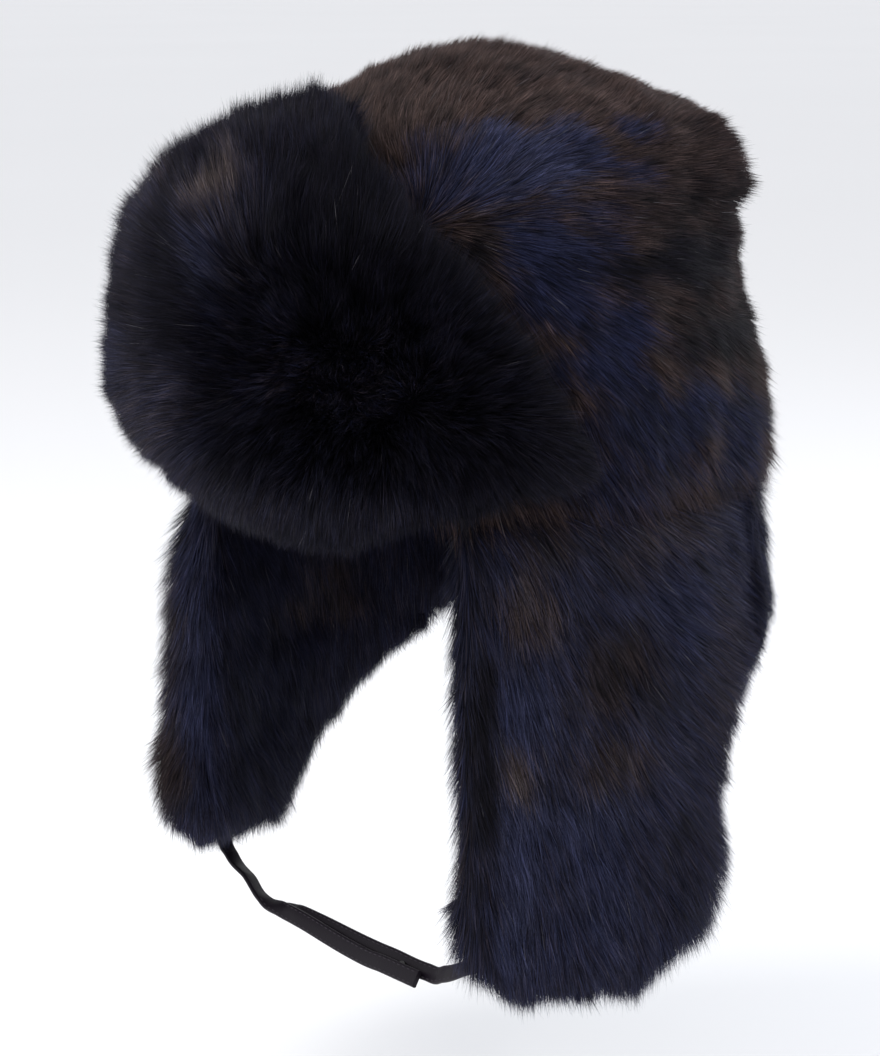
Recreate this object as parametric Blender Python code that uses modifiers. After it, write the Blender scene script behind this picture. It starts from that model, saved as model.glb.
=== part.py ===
"""Ushanka: a fur hat with its visor turned up, its ear flaps down and its chin strap fastened.

Metres, +Z up. The wearer looks along -Y and has the left ear at +X. The origin is the
middle of the rim, where the hat sits on the head. Directions round the head are turns in
degrees: 0 at the left ear, 90 at the nape, 180 at the right ear and -90 at the brow.
"""

import math

import bmesh
import bpy
import numpy as np
from mathutils import Vector
from mathutils.bvhtree import BVHTree
from mathutils.geometry import intersect_ray_tri

NAME = "ushanka"
GAP = 0.0003
BROW = -90.0


def table(columns, *rows):
    """Rows of numbers under named columns."""
    return dict(zip(columns.split(), np.array(rows, float).T))


# The padded wall of the crown, measured over its outside at the rim
CROWN_HALF_WIDTH = 0.0865
CROWN_FRONT = 0.1035
CROWN_BACK = 0.1015
CROWN_WALL = 0.0045
CROWN_TURNS = 32
CROWN_RINGS = 10
# How far its top lies behind its rim, starting from this height
CROWN_LEAN = 0.007
LEAN_FROM = 0.080
# Its outline from the rim to the top: height, and reach as a share of the rim's
CROWN_OUTLINE = table(
    "height reach",
    (0.000, 1.000),
    (0.030, 0.995),
    (0.060, 0.950),
    (0.089, 0.902),
    (0.106, 0.850),
    (0.120, 0.670),
    (0.130, 0.440),
    (0.137, 0.210),
    (0.139, 0.000),
)

# Fur of the crown: full depth, and depth where the visor presses on it
FUR_DEPTH = 0.0115
PRESSED_FUR = 0.004
# The fur is pressed flat from this far outside the visor's edge to this far inside it
PRESSED_FROM = 0.012
PRESSED_TO = 0.004
# Clearance between its backing and the wall, at the rim and on the dome
FUR_OFF_RIM = 0.0005
FUR_OFF_DOME = 0.0018
# Cells along half a side of the cube that it is rounded from, and the share of the way up to
# the top where that cube's upper edge lies
CROWN_CELLS = 14
CROWN_SHOULDER = 0.60
# The share of the way up above which nothing lies under the visor
CROWN_OVER_VISOR = 0.75
# The folds fade out over this height above the rim
FOLDS_ABOVE_RIM = 0.012
# Folds of the crown's fur: middle, spread and how far it is drawn out, or in where negative
FOLDS = table(
    "turn height half_turn half_height out",
    (50, 0.114, 32, 0.011, 0.006),
    (50, 0.091, 34, 0.012, -0.008),
    (54, 0.075, 24, 0.006, 0.004),
    (44, 0.062, 28, 0.006, -0.006),
    (50, 0.038, 40, 0.014, -0.002),
    (128, 0.110, 30, 0.012, 0.004),
    (125, 0.080, 32, 0.012, -0.005),
    (95, 0.030, 40, 0.020, 0.003),
    (140, 0.048, 24, 0.010, -0.004),
    (175, 0.095, 20, 0.010, 0.003),
    (170, 0.065, 24, 0.009, -0.004),
    (-120, 0.126, 50, 0.016, -0.003),
)

# Visor: the front flap, turned up against the crown. Its free edge on the crown's wall,
# counted from the brow, towards the right ear where negative
VISOR_EDGE = table(
    "turn top bottom",
    (-76, 0.020, 0.010),
    (-68, 0.044, 0.007),
    (-60, 0.066, 0.006),
    (-50, 0.086, 0.006),
    (-34, 0.103, 0.006),
    (-15, 0.112, 0.004),
    (5, 0.117, -0.003),
    (20, 0.118, -0.009),
    (32, 0.109, -0.010),
    (43, 0.097, -0.002),
    (52, 0.085, 0.002),
    (60, 0.066, 0.004),
    (68, 0.044, 0.006),
    (76, 0.020, 0.010),
)
VISOR_DEPTH_BROW = 0.037
VISOR_DEPTH_EAR = 0.027
VISOR_ROLL = 0.030
VISOR_CLEAR = 0.0009
# How far its rim and its top stand off the crown
VISOR_RIM_OFF = 0.010
VISOR_RIM_WIDTH = 0.014
VISOR_TOP_OFF = 0.003
VISOR_TOP_FROM = 0.055
VISOR_TOP_TO = 0.115
# Its upper edge slants, so that a height over it is this much of the way to it
VISOR_SLANT = 0.85
VISOR_COLUMNS = 28
VISOR_ROWS = 10
VISOR_COLUMNS_CLOSER = 0.045
VISOR_ROWS_CLOSER = 0.09
VISOR_PARTING = (BROW + 28.0, 0.040)

# Ear flaps and nape flap, hanging from the rim. Where the middle of the flap lies: reach
# across at the ears and back at the nape, and the depths of its outer and inner fur
CURTAIN = table(
    "drop across front back outer inner",
    (0.000, 0.0905, 0.109, 0.1055, 0.0080, 0.0085),
    (0.030, 0.0915, 0.109, 0.1060, 0.0110, 0.0105),
    (0.070, 0.0935, 0.109, 0.1050, 0.0125, 0.0115),
    (0.110, 0.0960, 0.109, 0.1030, 0.0125, 0.0120),
    (0.180, 0.0985, 0.109, 0.1010, 0.0115, 0.0120),
)
FLAP_RADIUS = 0.105
# Turn of the seam between an ear flap and the nape flap, and half of the gap there
SEAM = 32.0
SEAM_INSET = math.degrees(GAP / 2 / FLAP_RADIUS)
FLAP_ROLL = 0.017
THIN_EDGE = 0.0012
PARTING_BEHIND_EDGE = 0.017
PARTING_DEPTH = 0.006
PARTING_WIDTH = 0.0045
# Free edges of the ear flaps: the turns of the front and the rear edge at each drop, both
# counted from the ear towards the nape
LEFT_FLAP = table(
    "drop front rear out",
    (0.000, -41.0, 32.0, 0.000),
    (0.040, -41.0, 32.0, 0.000),
    (0.078, -41.0, 32.0, 0.000),
    (0.092, -41.0, 25.0, 0.000),
    (0.108, -41.0, 22.0, 0.000),
    (0.129, -41.0, 18.5, 0.000),
    (0.147, -40.5, 16.5, 0.000),
    (0.157, -38.0, 12.5, 0.000),
    (0.166, -32.0, 5.0, 0.000),
    (0.171, -22.0, -6.0, 0.000),
)
RIGHT_FLAP = table(
    "drop front rear out",
    (0.000, -42.0, 32.0, 0.000),
    (0.040, -42.0, 32.0, 0.004),
    (0.078, -42.5, 32.0, 0.006),
    (0.090, -43.0, 24.0, 0.006),
    (0.102, -43.0, 16.0, 0.006),
    (0.116, -43.0, 8.0, 0.007),
    (0.130, -42.5, 1.0, 0.008),
    (0.142, -40.5, -6.0, 0.008),
    (0.152, -36.5, -13.0, 0.008),
    (0.159, -30.0, -20.0, 0.008),
)
# Lower edge of the nape flap, from one seam to the other
NAPE_EDGE = table(
    "turn drop",
    (32, 0.070),
    (50, 0.064),
    (90, 0.061),
    (130, 0.064),
    (148, 0.070),
)
FLAP_COLUMNS = 13
FLAP_ROWS = 13
NAPE_COLUMNS = 18
NAPE_ROWS = 7
# How much closer the lines of their grids lie at the front edge and at the hem
FRONT_CLOSER = 0.06
HEM_CLOSER = 0.05

# Locks: how far they stand out and lean the way the fur lies, how much that differs, how far
# they stray sideways, and how far their roots stray as a share of a cell
LOCK_RISE = 0.0055
LOCK_LEAN = 0.0095
LOCK_SPREAD = 0.45
LOCK_STRAY = 0.0030
ROOT_STRAY = 0.28
# A lock that cuts another, or whose sides lie closer than this turn, is drawn in by a share
# at a time
FLATTEST_LOCK = math.radians(165)
DRAWN_IN = 0.85
DRAWING_ROUNDS = 40
# Every other row of roots is moved along by this share of a cell, and the rest back
ROOT_STAGGER = 0.25
# The smallest locks, as a share of full ones: beside the visor, and at the visor's ends
LEAST_BESIDE_VISOR = 0.30
LEAST_AT_ENDS = 0.35
VISOR_ENDS = 0.15
# How much the flaps' fur lies back as it hangs
FLAP_FUR_BACK = 0.35
SEEDS = {"crown_fur": 3, "visor": 5, "ear_flap_left": 7, "ear_flap_right": 8, "nape_flap": 11}
# Locks stay this far above or below the rim, where the crown and the flaps meet
LOCKS_OFF_RIM = 0.0012
# How far outside the visor's edge the crown's locks start, and are full
NO_LOCKS_BESIDE_VISOR = 0.004
FULL_LOCKS_BESIDE_VISOR = 0.018
# The crown's fur fans out from a point low behind the visor
FAN_POINT = Vector((0.0, -0.095, 0.070))
FAN_DROOP = 0.45

# Chin strap: two flat leather straps that overlap in front of the neck
STRAP_WIDTH = 0.0065
STRAP_THICKNESS = 0.0018
STRAP_STEPS = 40
SLOT_STEPS = 18
STUD_RADIUS = 0.0028
STUD_THICKNESS = 0.0010
STUD_SIDES = 16
STUD_BELOW_MIDDLE = 0.0012
# Their routes, from inside the flap's hem to the loose end. Tilt turns the strap's width
# from level and fore-and-aft towards upright
RIGHT_STRAP = table(
    "x y z tilt",
    (-0.1030, -0.0430, -0.1400, 0),
    (-0.1020, -0.0435, -0.1600, 0),
    (-0.0945, -0.0450, -0.1700, 10),
    (-0.0810, -0.0463, -0.1752, 20),
    (-0.0700, -0.0475, -0.1808, 10),
    (-0.0560, -0.0488, -0.1812, -42),
    (-0.0373, -0.0506, -0.1812, -55),
    (-0.0045, -0.0538, -0.1820, -60),
    (0.0170, -0.0559, -0.1807, -60),
    (0.0385, -0.0579, -0.1795, -60),
)
LEFT_STRAP = table(
    "x y z tilt",
    (0.0985, -0.0440, -0.1440, 0),
    (0.0930, -0.0500, -0.1540, -10),
    (0.0790, -0.0555, -0.1610, -30),
    (0.0640, -0.0560, -0.1680, -50),
    (0.0500, -0.0548, -0.1748, -60),
    (0.0385, -0.0532, -0.1778, -60),
    (0.0170, -0.0512, -0.1790, -60),
    (-0.0045, -0.0491, -0.1803, -60),
    (-0.0373, -0.0460, -0.1812, -54),
    (-0.0560, -0.0441, -0.1827, -28),
    (-0.0670, -0.0435, -0.1844, 0),
)
STUD_AT = 0.0250

# Colours and roughness of the materials
FINISHES = {
    "crown_wall": ((0.008, 0.008, 0.011), 0.75),
    "crown_fur": ((0.020, 0.020, 0.034), 0.85),
    "visor": ((0.006, 0.006, 0.010), 0.90),
    "ear_flap_left": ((0.020, 0.021, 0.034), 0.85),
    "ear_flap_right": ((0.015, 0.015, 0.026), 0.85),
    "nape_flap": ((0.016, 0.016, 0.026), 0.85),
    "strap_left": ((0.012, 0.012, 0.014), 0.45),
    "strap_right": ((0.012, 0.012, 0.014), 0.45),
    "strap_stud": ((0.030, 0.030, 0.030), 0.40),
}
FUR_SHEEN = 0.2


def read(rows, key, column, at):
    """A column of a table where its key column has a value, along a smooth curve."""
    x, y = rows[key], rows[column]
    slopes = np.gradient(y, x)
    at = min(max(at, x[0]), x[-1])
    k = min(max(int(np.searchsorted(x, at)) - 1, 0), len(x) - 2)
    span = x[k + 1] - x[k]
    t = (at - x[k]) / span
    start = y[k] + slopes[k] * span * t
    end = y[k + 1] - slopes[k + 1] * span * (1 - t)
    blend = t * t * (3 - 2 * t)
    return start * (1 - blend) + end * blend


def ease(low, high, at):
    """0 below low, 1 above high, and a smooth step between."""
    t = min(max((at - low) / (high - low), 0.0), 1.0)
    return t * t * (3 - 2 * t)


def rounded(depth, roll):
    """The share of the full thickness at a depth in from a rounded edge."""
    return math.sqrt(max(1 - (1 - min(max(depth / roll, 0.0), 1.0)) ** 2, 0.0))


def from_brow(turn):
    """A turn counted from the brow, negative towards the right ear."""
    return (turn - BROW + 180) % 360 - 180


def along_outline():
    """The crown's outline, with the way that each row stands at from the rim."""
    reach = CROWN_OUTLINE["reach"] * CROWN_HALF_WIDTH
    steps = np.hypot(np.diff(CROWN_OUTLINE["height"]), np.diff(reach))
    return np.concatenate(([0.0], np.cumsum(steps)))


OUTLINE_LENGTH = along_outline()[-1]
OUTLINE = dict(CROWN_OUTLINE, share=along_outline() / OUTLINE_LENGTH)


def on_crown(turn, share):
    """A point on the outside of the crown's wall and the way out, at a share of the way up."""
    reach = read(OUTLINE, "share", "reach", share)
    height = read(OUTLINE, "share", "height", share)
    step = 0.004
    low, high = max(share - step, 0.0), min(share + step, 1.0)
    widening = read(OUTLINE, "share", "reach", high) - read(OUTLINE, "share", "reach", low)
    rising = read(OUTLINE, "share", "height", high) - read(OUTLINE, "share", "height", low)
    if share < step:
        widening, rising = 0.0, step
        height += min(share, 0.0) * OUTLINE_LENGTH
    angle = math.radians(turn)
    c, s = math.cos(angle), math.sin(angle)
    length = CROWN_FRONT if s < 0 else CROWN_BACK
    lean = CROWN_LEAN * ease(LEAN_FROM, OUTLINE["height"][-1], height)
    point = Vector((reach * CROWN_HALF_WIDTH * c, reach * length * s + lean, height))
    slope = widening * CROWN_HALF_WIDTH * length
    out = Vector((length * c * rising, CROWN_HALF_WIDTH * s * rising, -slope))
    return point, out.normalized()


def crown_share(height):
    """The share of the way up the crown's outline at a height, less than 0 below the rim."""
    if height < 0:
        return height / OUTLINE_LENGTH
    return float(np.interp(height, OUTLINE["height"], OUTLINE["share"]))


def visor_inset(turn, height):
    """How far a place on the crown's wall lies inside the visor's edge, negative outside it."""
    away = from_brow(turn)
    half_width = CROWN_FRONT * math.radians(VISOR_EDGE["turn"][-1] - abs(away))
    top = read(VISOR_EDGE, "turn", "top", away) - height
    bottom = height - read(VISOR_EDGE, "turn", "bottom", away)
    return min(half_width, top * VISOR_SLANT, bottom)


def folds(turn, height):
    """How far the crown's fur is drawn out at a place by its folds."""
    out = 0.0
    for at, up, wide, tall, push in zip(*FOLDS.values()):
        away = (turn - at + 180) % 360 - 180
        out += push * math.exp(-((away / wide) ** 2) - ((height - up) / tall) ** 2)
    return out


def crown_fur_depth(turn, share):
    """The depth of the crown's fur over its wall, pressed flat under the visor."""
    height = read(OUTLINE, "share", "height", share)
    pressed = 0.0
    if share < CROWN_OVER_VISOR:
        pressed = ease(-PRESSED_FROM, PRESSED_TO, visor_inset(turn, height))
    full = FUR_DEPTH + folds(turn, height) * ease(0.0, FOLDS_ABOVE_RIM, height)
    return full * (1 - pressed) + PRESSED_FUR * pressed


def flat_slab(columns, rows):
    """A closed slab over the unit square, its front at z = 0 and its back at z = -1."""
    bm = bmesh.new()
    bmesh.ops.create_grid(bm, x_segments=columns, y_segments=rows, size=0.5)
    bmesh.ops.translate(bm, verts=bm.verts, vec=(0.5, 0.5, 0.0))
    copied = bmesh.ops.extrude_face_region(bm, geom=bm.faces[:], use_keep_orig=True)["geom"]
    back = [part for part in copied if isinstance(part, bmesh.types.BMVert)]
    bmesh.ops.translate(bm, verts=back, vec=(0.0, 0.0, -1.0))
    return bm


def faces_where(bm, test):
    """The faces whose middle, in the flat slab, passes a test."""
    return [face for face in bm.faces if test(face.calc_center_median())]


def bend(bm, place):
    """Moves each point of a flat slab to its place on the hat."""
    for vert in bm.verts:
        vert.co = place(*vert.co)
    bmesh.ops.recalc_face_normals(bm, faces=bm.faces)
    bm.normal_update()


def stray_roots(bm, columns, rows, seed, locked):
    """Moves the inner points of a slab's furred sides about, and staggers their rows."""
    spread = np.random.default_rng(seed)
    for vert in bm.verts:
        u, v, side = vert.co
        across, up = spread.uniform(-1, 1, 2)
        if locked(side) and 0.001 < u < 0.999 and 0.001 < v < 0.999:
            row = round(v * rows)
            stagger = ROOT_STAGGER if row % 2 else -ROOT_STAGGER
            stagger *= min(1.0, u * columns / 2, (1 - u) * columns / 2)
            vert.co.x += (ROOT_STRAY * across * 0.5 + stagger) / columns
            vert.co.y += ROOT_STRAY * up / rows


def draw_locks(bm, faces, lay, seed, sizes=None):
    """Draws each face out into a lock that leans the way the fur lies, with a little stray."""
    spread = np.random.default_rng(seed)
    sizes = sizes or [1.0] * len(faces)
    outwards = [face.normal.copy() for face in faces]
    tips = bmesh.ops.poke(bm, faces=faces, center_mode="MEAN")["verts"]
    bmesh.ops.triangulate(bm, faces=bm.faces)
    bm.verts.index_update()
    bm.faces.ensure_lookup_table()
    roots = {tip.index: tip.co.copy() for tip in tips}
    for tip, out, size in zip(tips, outwards, sizes):
        longer, aside = spread.uniform(-1, 1, 2)
        size *= 1 + LOCK_SPREAD * longer
        way = lay(tip.co, out)
        way = (way - out * way.dot(out)).normalized()
        above = tip.co.z > 0
        tip.co += (out * LOCK_RISE + way * LOCK_LEAN) * size + out.cross(way) * LOCK_STRAY * aside
        tip.co.z = max(tip.co.z, LOCKS_OFF_RIM) if above else min(tip.co.z, -LOCKS_OFF_RIM)
    draw_in_crossed(bm, roots)


def draw_in_crossed(bm, roots):
    """Draws locks that cut each other back towards their roots, until they are clear."""
    for _ in range(DRAWING_ROUNDS):
        bm.normal_update()
        tree = BVHTree.FromBMesh(bm)
        crossed = set()
        for first, second in tree.overlap(tree):
            if first < second and cut(bm.faces[first], bm.faces[second]):
                crossed.update(bm.faces[first].verts, bm.faces[second].verts)
        for edge in bm.edges:
            if edge.calc_face_angle(0.0) > FLATTEST_LOCK:
                crossed.update(edge.link_faces[0].verts, edge.link_faces[1].verts)
        tips = [vert for vert in crossed if vert.index in roots]
        if not tips:
            return
        for tip in tips:
            tip.co = roots[tip.index].lerp(tip.co, DRAWN_IN)


def cut(first, second):
    """Whether two triangles whose boxes meet cut each other, and don't only share a corner."""
    shared = set(first.verts) & set(second.verts)
    if len(shared) != 1:
        return not shared
    for edge_of, face in ((first, second), (second, first)):
        start, end = [vert.co for vert in edge_of.verts if vert not in shared]
        run = end - start
        met = intersect_ray_tri(*[vert.co for vert in face.verts], run, start)
        if met is not None and 0.0 < (met - start).dot(run) < run.length_squared:
            return True
    return False


def finish(bm, name, collection):
    """Makes the mesh an object with a finish of its own, shaded smooth over its round faces."""
    mesh = bpy.data.meshes.new(name)
    bmesh.ops.triangulate(bm, faces=bm.faces)
    bmesh.ops.recalc_face_normals(bm, faces=bm.faces)
    bm.to_mesh(mesh)
    bm.free()
    mesh.shade_smooth()
    mesh.set_sharp_from_angle(angle=math.radians(50))
    mesh.materials.append(surface(name))
    thing = bpy.data.objects.new(name, mesh)
    collection.objects.link(thing)
    return thing


def surface(name):
    """The material of a piece."""
    color, roughness = FINISHES[name]
    material = bpy.data.materials.new(name)
    material.use_nodes = True
    shader = material.node_tree.nodes["Principled BSDF"]
    shader.inputs["Base Color"].default_value = (*color, 1.0)
    shader.inputs["Roughness"].default_value = roughness
    shader.inputs["Metallic"].default_value = 0.0
    shader.inputs["Sheen Weight"].default_value = FUR_SHEEN if name in SEEDS else 0.0
    return material


def half_rounded_cube(cells):
    """The upper half of a cube of even cells about the origin, open below."""
    bm = bmesh.new()
    bmesh.ops.create_cube(bm, size=2.0)
    bmesh.ops.subdivide_edges(bm, edges=bm.edges[:], cuts=cells - 1, use_grid_fill=True)
    low = [vert for vert in bm.verts if vert.co.z < -0.001]
    bmesh.ops.delete(bm, geom=low, context="VERTS")
    return bm


def round_the_crown(co):
    """The turn, and the share of the way to the top, for a point on the half cube."""
    size = max(abs(co.x), abs(co.y))
    if size < 1e-6:
        return 0.0, 1.0
    if abs(co.x) >= abs(co.y):
        turn = 45 * co.y / co.x + (0 if co.x > 0 else 180)
    else:
        turn = 90 - 45 * co.x / co.y + (0 if co.y > 0 else 180)
    if co.z < 0.999:
        return turn, CROWN_SHOULDER * co.z
    return turn, 1 - (1 - CROWN_SHOULDER) * size


def crown_lay(point, _out):
    """The way the crown's fur lies: fanning out from behind the visor, and drooping."""
    return (point - FAN_POINT).normalized() - Vector((0, 0, FAN_DROOP))


def make_crown_wall(collection):
    """The padded wall of the crown: a turned outline with a thickness."""
    bm = bmesh.new()
    bmesh.ops.create_uvsphere(bm, u_segments=CROWN_TURNS, v_segments=2 * CROWN_RINGS, radius=1.0)
    low = [vert for vert in bm.verts if vert.co.z < -0.001]
    bmesh.ops.delete(bm, geom=low, context="VERTS")
    for vert in bm.verts:
        share = math.asin(min(max(vert.co.z, 0.0), 1.0)) / (math.pi / 2)
        vert.co, _ = on_crown(math.degrees(math.atan2(vert.co.y, vert.co.x)), share)
    bmesh.ops.recalc_face_normals(bm, faces=bm.faces)
    wall = finish(bm, "crown_wall", collection)
    solid = wall.modifiers.new("thickness", "SOLIDIFY")
    solid.thickness = CROWN_WALL
    solid.offset = -1.0
    solid.use_even_offset = True


def make_crown_fur(collection):
    """The fur over the crown's wall: locks outside, a smooth backing inside."""
    bm = half_rounded_cube(CROWN_CELLS)
    outer = bm.faces[:]
    copied = bmesh.ops.extrude_face_region(bm, geom=outer, use_keep_orig=True)["geom"]
    backing = {part for part in copied if isinstance(part, bmesh.types.BMVert)}
    sizes = [crown_lock_size(*round_the_crown(face.calc_center_median())) for face in outer]
    spread = np.random.default_rng(SEEDS["crown_fur"])
    cell = 1 / CROWN_CELLS
    for vert in bm.verts:
        turn, share = round_the_crown(vert.co)
        around, up = spread.uniform(-ROOT_STRAY, ROOT_STRAY, 2)
        if vert not in backing and 0.001 < share < 0.999:
            turn += around * 90 * cell
            share += up * 2 * cell * min(CROWN_SHOULDER, 1 - CROWN_SHOULDER)
        point, out = on_crown(turn, share)
        depth = crown_fur_depth(turn, share)
        if vert in backing:
            depth = FUR_OFF_RIM + (FUR_OFF_DOME - FUR_OFF_RIM) * ease(0.2, 0.5, share)
        vert.co = point + out * depth
    bmesh.ops.recalc_face_normals(bm, faces=bm.faces)
    bm.normal_update()
    locked = [face for face, size in zip(outer, sizes) if size > 0]
    sizes = [size for size in sizes if size > 0]
    draw_locks(bm, locked, crown_lay, SEEDS["crown_fur"], sizes)
    finish(bm, "crown_fur", collection)


def crown_lock_size(turn, share):
    """The size of the crown's locks at a place: none under the visor, and less beside it."""
    beside = -visor_inset(turn, read(OUTLINE, "share", "height", share))
    if beside < NO_LOCKS_BESIDE_VISOR:
        return 0.0
    full = ease(NO_LOCKS_BESIDE_VISOR, FULL_LOCKS_BESIDE_VISOR, beside)
    return LEAST_BESIDE_VISOR + (1 - LEAST_BESIDE_VISOR) * full


def visor_place(u, v, side):
    """A point of the visor: u from the left ear's end to the right's, v from below to the top."""
    half = VISOR_EDGE["turn"][-1]
    turn = BROW + half - 2 * half * u
    away = from_brow(turn)
    bottom = read(VISOR_EDGE, "turn", "bottom", away)
    top = read(VISOR_EDGE, "turn", "top", away)
    low, high = crown_share(bottom), crown_share(top)
    share = low + (high - low) * v
    point, out = on_crown(turn, share)
    height = read(OUTLINE, "share", "height", share)
    ends = CROWN_FRONT * math.radians(half - abs(away))
    depth_in = min(ends, (high - share) * OUTLINE_LENGTH, (share - low) * OUTLINE_LENGTH)
    full = VISOR_DEPTH_EAR + (VISOR_DEPTH_BROW - VISOR_DEPTH_EAR) * ease(half, 20, abs(away))
    rim_off = VISOR_RIM_OFF * (1 - ease(0.0, VISOR_RIM_WIDTH, depth_in))
    top_off = VISOR_TOP_OFF * ease(VISOR_TOP_FROM, VISOR_TOP_TO, height)
    back = PRESSED_FUR + VISOR_CLEAR + rim_off
    front = back + THIN_EDGE + (full - back - THIN_EDGE) * rounded(depth_in, VISOR_ROLL)
    return point + out * (top_off + (front if side > -0.5 else back))


def visor_lay(point, _out):
    """The visor's fur parts at one point and lies away from it all round."""
    middle, out = on_crown(VISOR_PARTING[0], crown_share(VISOR_PARTING[1]))
    return point - (middle + out * VISOR_DEPTH_BROW)


def make_visor(collection):
    """The visor: a backing with locks on its outside, rounded over at its edges."""
    seed = SEEDS["visor"]
    bm = flat_slab(VISOR_COLUMNS, VISOR_ROWS)
    stray_roots(bm, VISOR_COLUMNS, VISOR_ROWS, seed, lambda side: side > -0.1)
    front = faces_where(bm, lambda middle: middle.z > -0.1)
    sizes = [visor_lock_size(face.calc_center_median().x) for face in front]

    def place(u, v, side):
        u = to_both_ends(u, VISOR_COLUMNS_CLOSER)
        return visor_place(u, to_both_ends(v, VISOR_ROWS_CLOSER), side)

    bend(bm, place)
    draw_locks(bm, front, visor_lay, seed, sizes)
    finish(bm, "visor", collection)


def visor_lock_size(u):
    """The size of the visor's locks: less at its two narrow ends."""
    return LEAST_AT_ENDS + (1 - LEAST_AT_ENDS) * ease(0.0, VISOR_ENDS, min(u, 1 - u))


def to_both_ends(t, closer):
    """Moves the lines of a grid towards both of its ends."""
    return t - closer * math.sin(2 * math.pi * t)


def to_start(t, closer):
    """Moves the lines of a grid towards its start."""
    return t - closer * math.sin(math.pi * t)


def to_end(t, closer):
    """Moves the lines of a grid towards its end."""
    return t + closer * math.sin(math.pi * t)


def curtain(turn, drop):
    """The middle of the flaps at a turn and drop, the way out, and the two depths of fur."""
    angle = math.radians(turn)
    c, s = math.cos(angle), math.sin(angle)
    across = read(CURTAIN, "drop", "across", drop)
    length = read(CURTAIN, "drop", "front" if s < 0 else "back", drop)
    point = Vector((across * c, length * s, -drop - GAP / 2))
    out = Vector((length * c, across * s, 0)).normalized()
    return point, out, read(CURTAIN, "drop", "outer", drop), read(CURTAIN, "drop", "inner", drop)


def free_edge(flap):
    """A flap's free edge as a line of flat points: round the head from the ear, and down."""
    drops = np.linspace(0, flap["drop"][-1], 40)
    rear_from = SEAM - 0.5
    front = [(read(flap, "drop", "front", d), d) for d in drops]
    rear = [(read(flap, "drop", "rear", d), d) for d in drops[::-1]]
    rear = [place for place in rear if place[0] < rear_from]
    return [flatten(*place) for place in front + rear]


def flatten(turn, drop):
    """A place on the flaps in metres round the head and down."""
    return math.radians(turn) * FLAP_RADIUS, drop


def distance_to(line, place):
    """How far a flat place lies from a line of flat points."""
    line, place = np.array(line), np.array(place)
    start, run = line[:-1], np.diff(line, axis=0)
    share = np.clip(((place - start) * run).sum(1) / np.maximum((run**2).sum(1), 1e-12), 0, 1)
    return float(np.hypot(*(start + run * share[:, None] - place).T).min())


def flap_place(flap, edge, mirrored, u, v, side):
    """A point of an ear flap: u from its front edge to its rear, v from the rim to its hem."""
    drop = flap["drop"][-1] * v
    front, rear = read(flap, "drop", "front", drop), read(flap, "drop", "rear", drop)
    turn = front + (rear - front) * u
    depth_in = distance_to(edge, flatten(turn, drop))
    turn = min(turn, SEAM - SEAM_INSET)
    point, out, outer, inner = curtain(180 - turn if mirrored else turn, drop)
    point += out * read(flap, "drop", "out", drop) * ease(SEAM, SEAM - 30, turn)
    share = rounded(depth_in, FLAP_ROLL)
    behind = (math.radians(turn - front) * FLAP_RADIUS - PARTING_BEHIND_EDGE) / PARTING_WIDTH
    parting = PARTING_DEPTH * math.exp(-(behind**2)) * ease(0.004, 0.020, flap["drop"][-1] - drop)
    if side > -0.5:
        return point + out * (THIN_EDGE + (outer - THIN_EDGE) * share - parting * share)
    return point - out * (THIN_EDGE + (inner - THIN_EDGE) * share)


def flap_lay(point, out):
    """The fur of the flaps hangs down, and outside it also lies back."""
    sideways = Vector((-out.y, out.x, 0)) * (1 if point.x > 0 else -1)
    outside = out.dot(Vector((point.x, point.y, 0))) > 0
    return Vector((0, 0, -1)) + sideways * (FLAP_FUR_BACK if outside else 0.0)


def make_ear_flap(name, flap, mirrored, collection):
    """An ear flap: one body of locks, outside and inside, over its backing."""
    bm = flat_slab(FLAP_COLUMNS, FLAP_ROWS)
    stray_roots(bm, FLAP_COLUMNS, FLAP_ROWS, SEEDS[name], lambda side: True)
    locked = faces_where(bm, lambda middle: middle.z > -0.1 or middle.z < -0.9)
    edge = free_edge(flap)

    def place(u, v, side):
        u, v = to_start(u, FRONT_CLOSER), to_end(v, HEM_CLOSER)
        return flap_place(flap, edge, mirrored, u, v, side)

    bend(bm, place)
    draw_locks(bm, locked, flap_lay, SEEDS[name])
    return finish(bm, name, collection)


def nape_place(u, v, side):
    """A point of the nape flap: u from the left seam to the right, v from the rim to its hem."""
    first, last = SEAM + SEAM_INSET, 180 - SEAM - SEAM_INSET
    turn = first + (last - first) * u
    hem = read(NAPE_EDGE, "turn", "drop", turn)
    drop = hem * v
    point, out, outer, inner = curtain(turn, drop)
    share = rounded(hem - drop, FLAP_ROLL)
    depth = outer if side > -0.5 else -inner
    thin = math.copysign(THIN_EDGE, depth)
    return point + out * (thin + (depth - thin) * share)


def make_nape_flap(collection):
    """The nape flap, between the seams behind the ears."""
    seed = SEEDS["nape_flap"]
    bm = flat_slab(NAPE_COLUMNS, NAPE_ROWS)
    stray_roots(bm, NAPE_COLUMNS, NAPE_ROWS, seed, lambda side: True)
    locked = faces_where(bm, lambda middle: middle.z > -0.1 or middle.z < -0.9)
    bend(bm, lambda u, v, side: nape_place(u, to_end(v, HEM_CLOSER), side))
    draw_locks(bm, locked, flap_lay, seed)
    finish(bm, "nape_flap", collection)


def strap_route(rows, share):
    """The middle of a strap at a share of its route, and the ways along and across it."""
    places = dict(rows, step=np.linspace(0, 1, len(rows["x"])))

    def at(place):
        return Vector([read(places, "step", axis, place) for axis in "xyz"])

    run = (at(min(share + 0.01, 1.0)) - at(max(share - 0.01, 0.0))).normalized()
    tilt = math.radians(read(places, "step", "tilt", share))
    across = Vector((0, -math.cos(tilt), math.sin(tilt)))
    across = (across - run * across.dot(run)).normalized()
    return at(share), run, across


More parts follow.
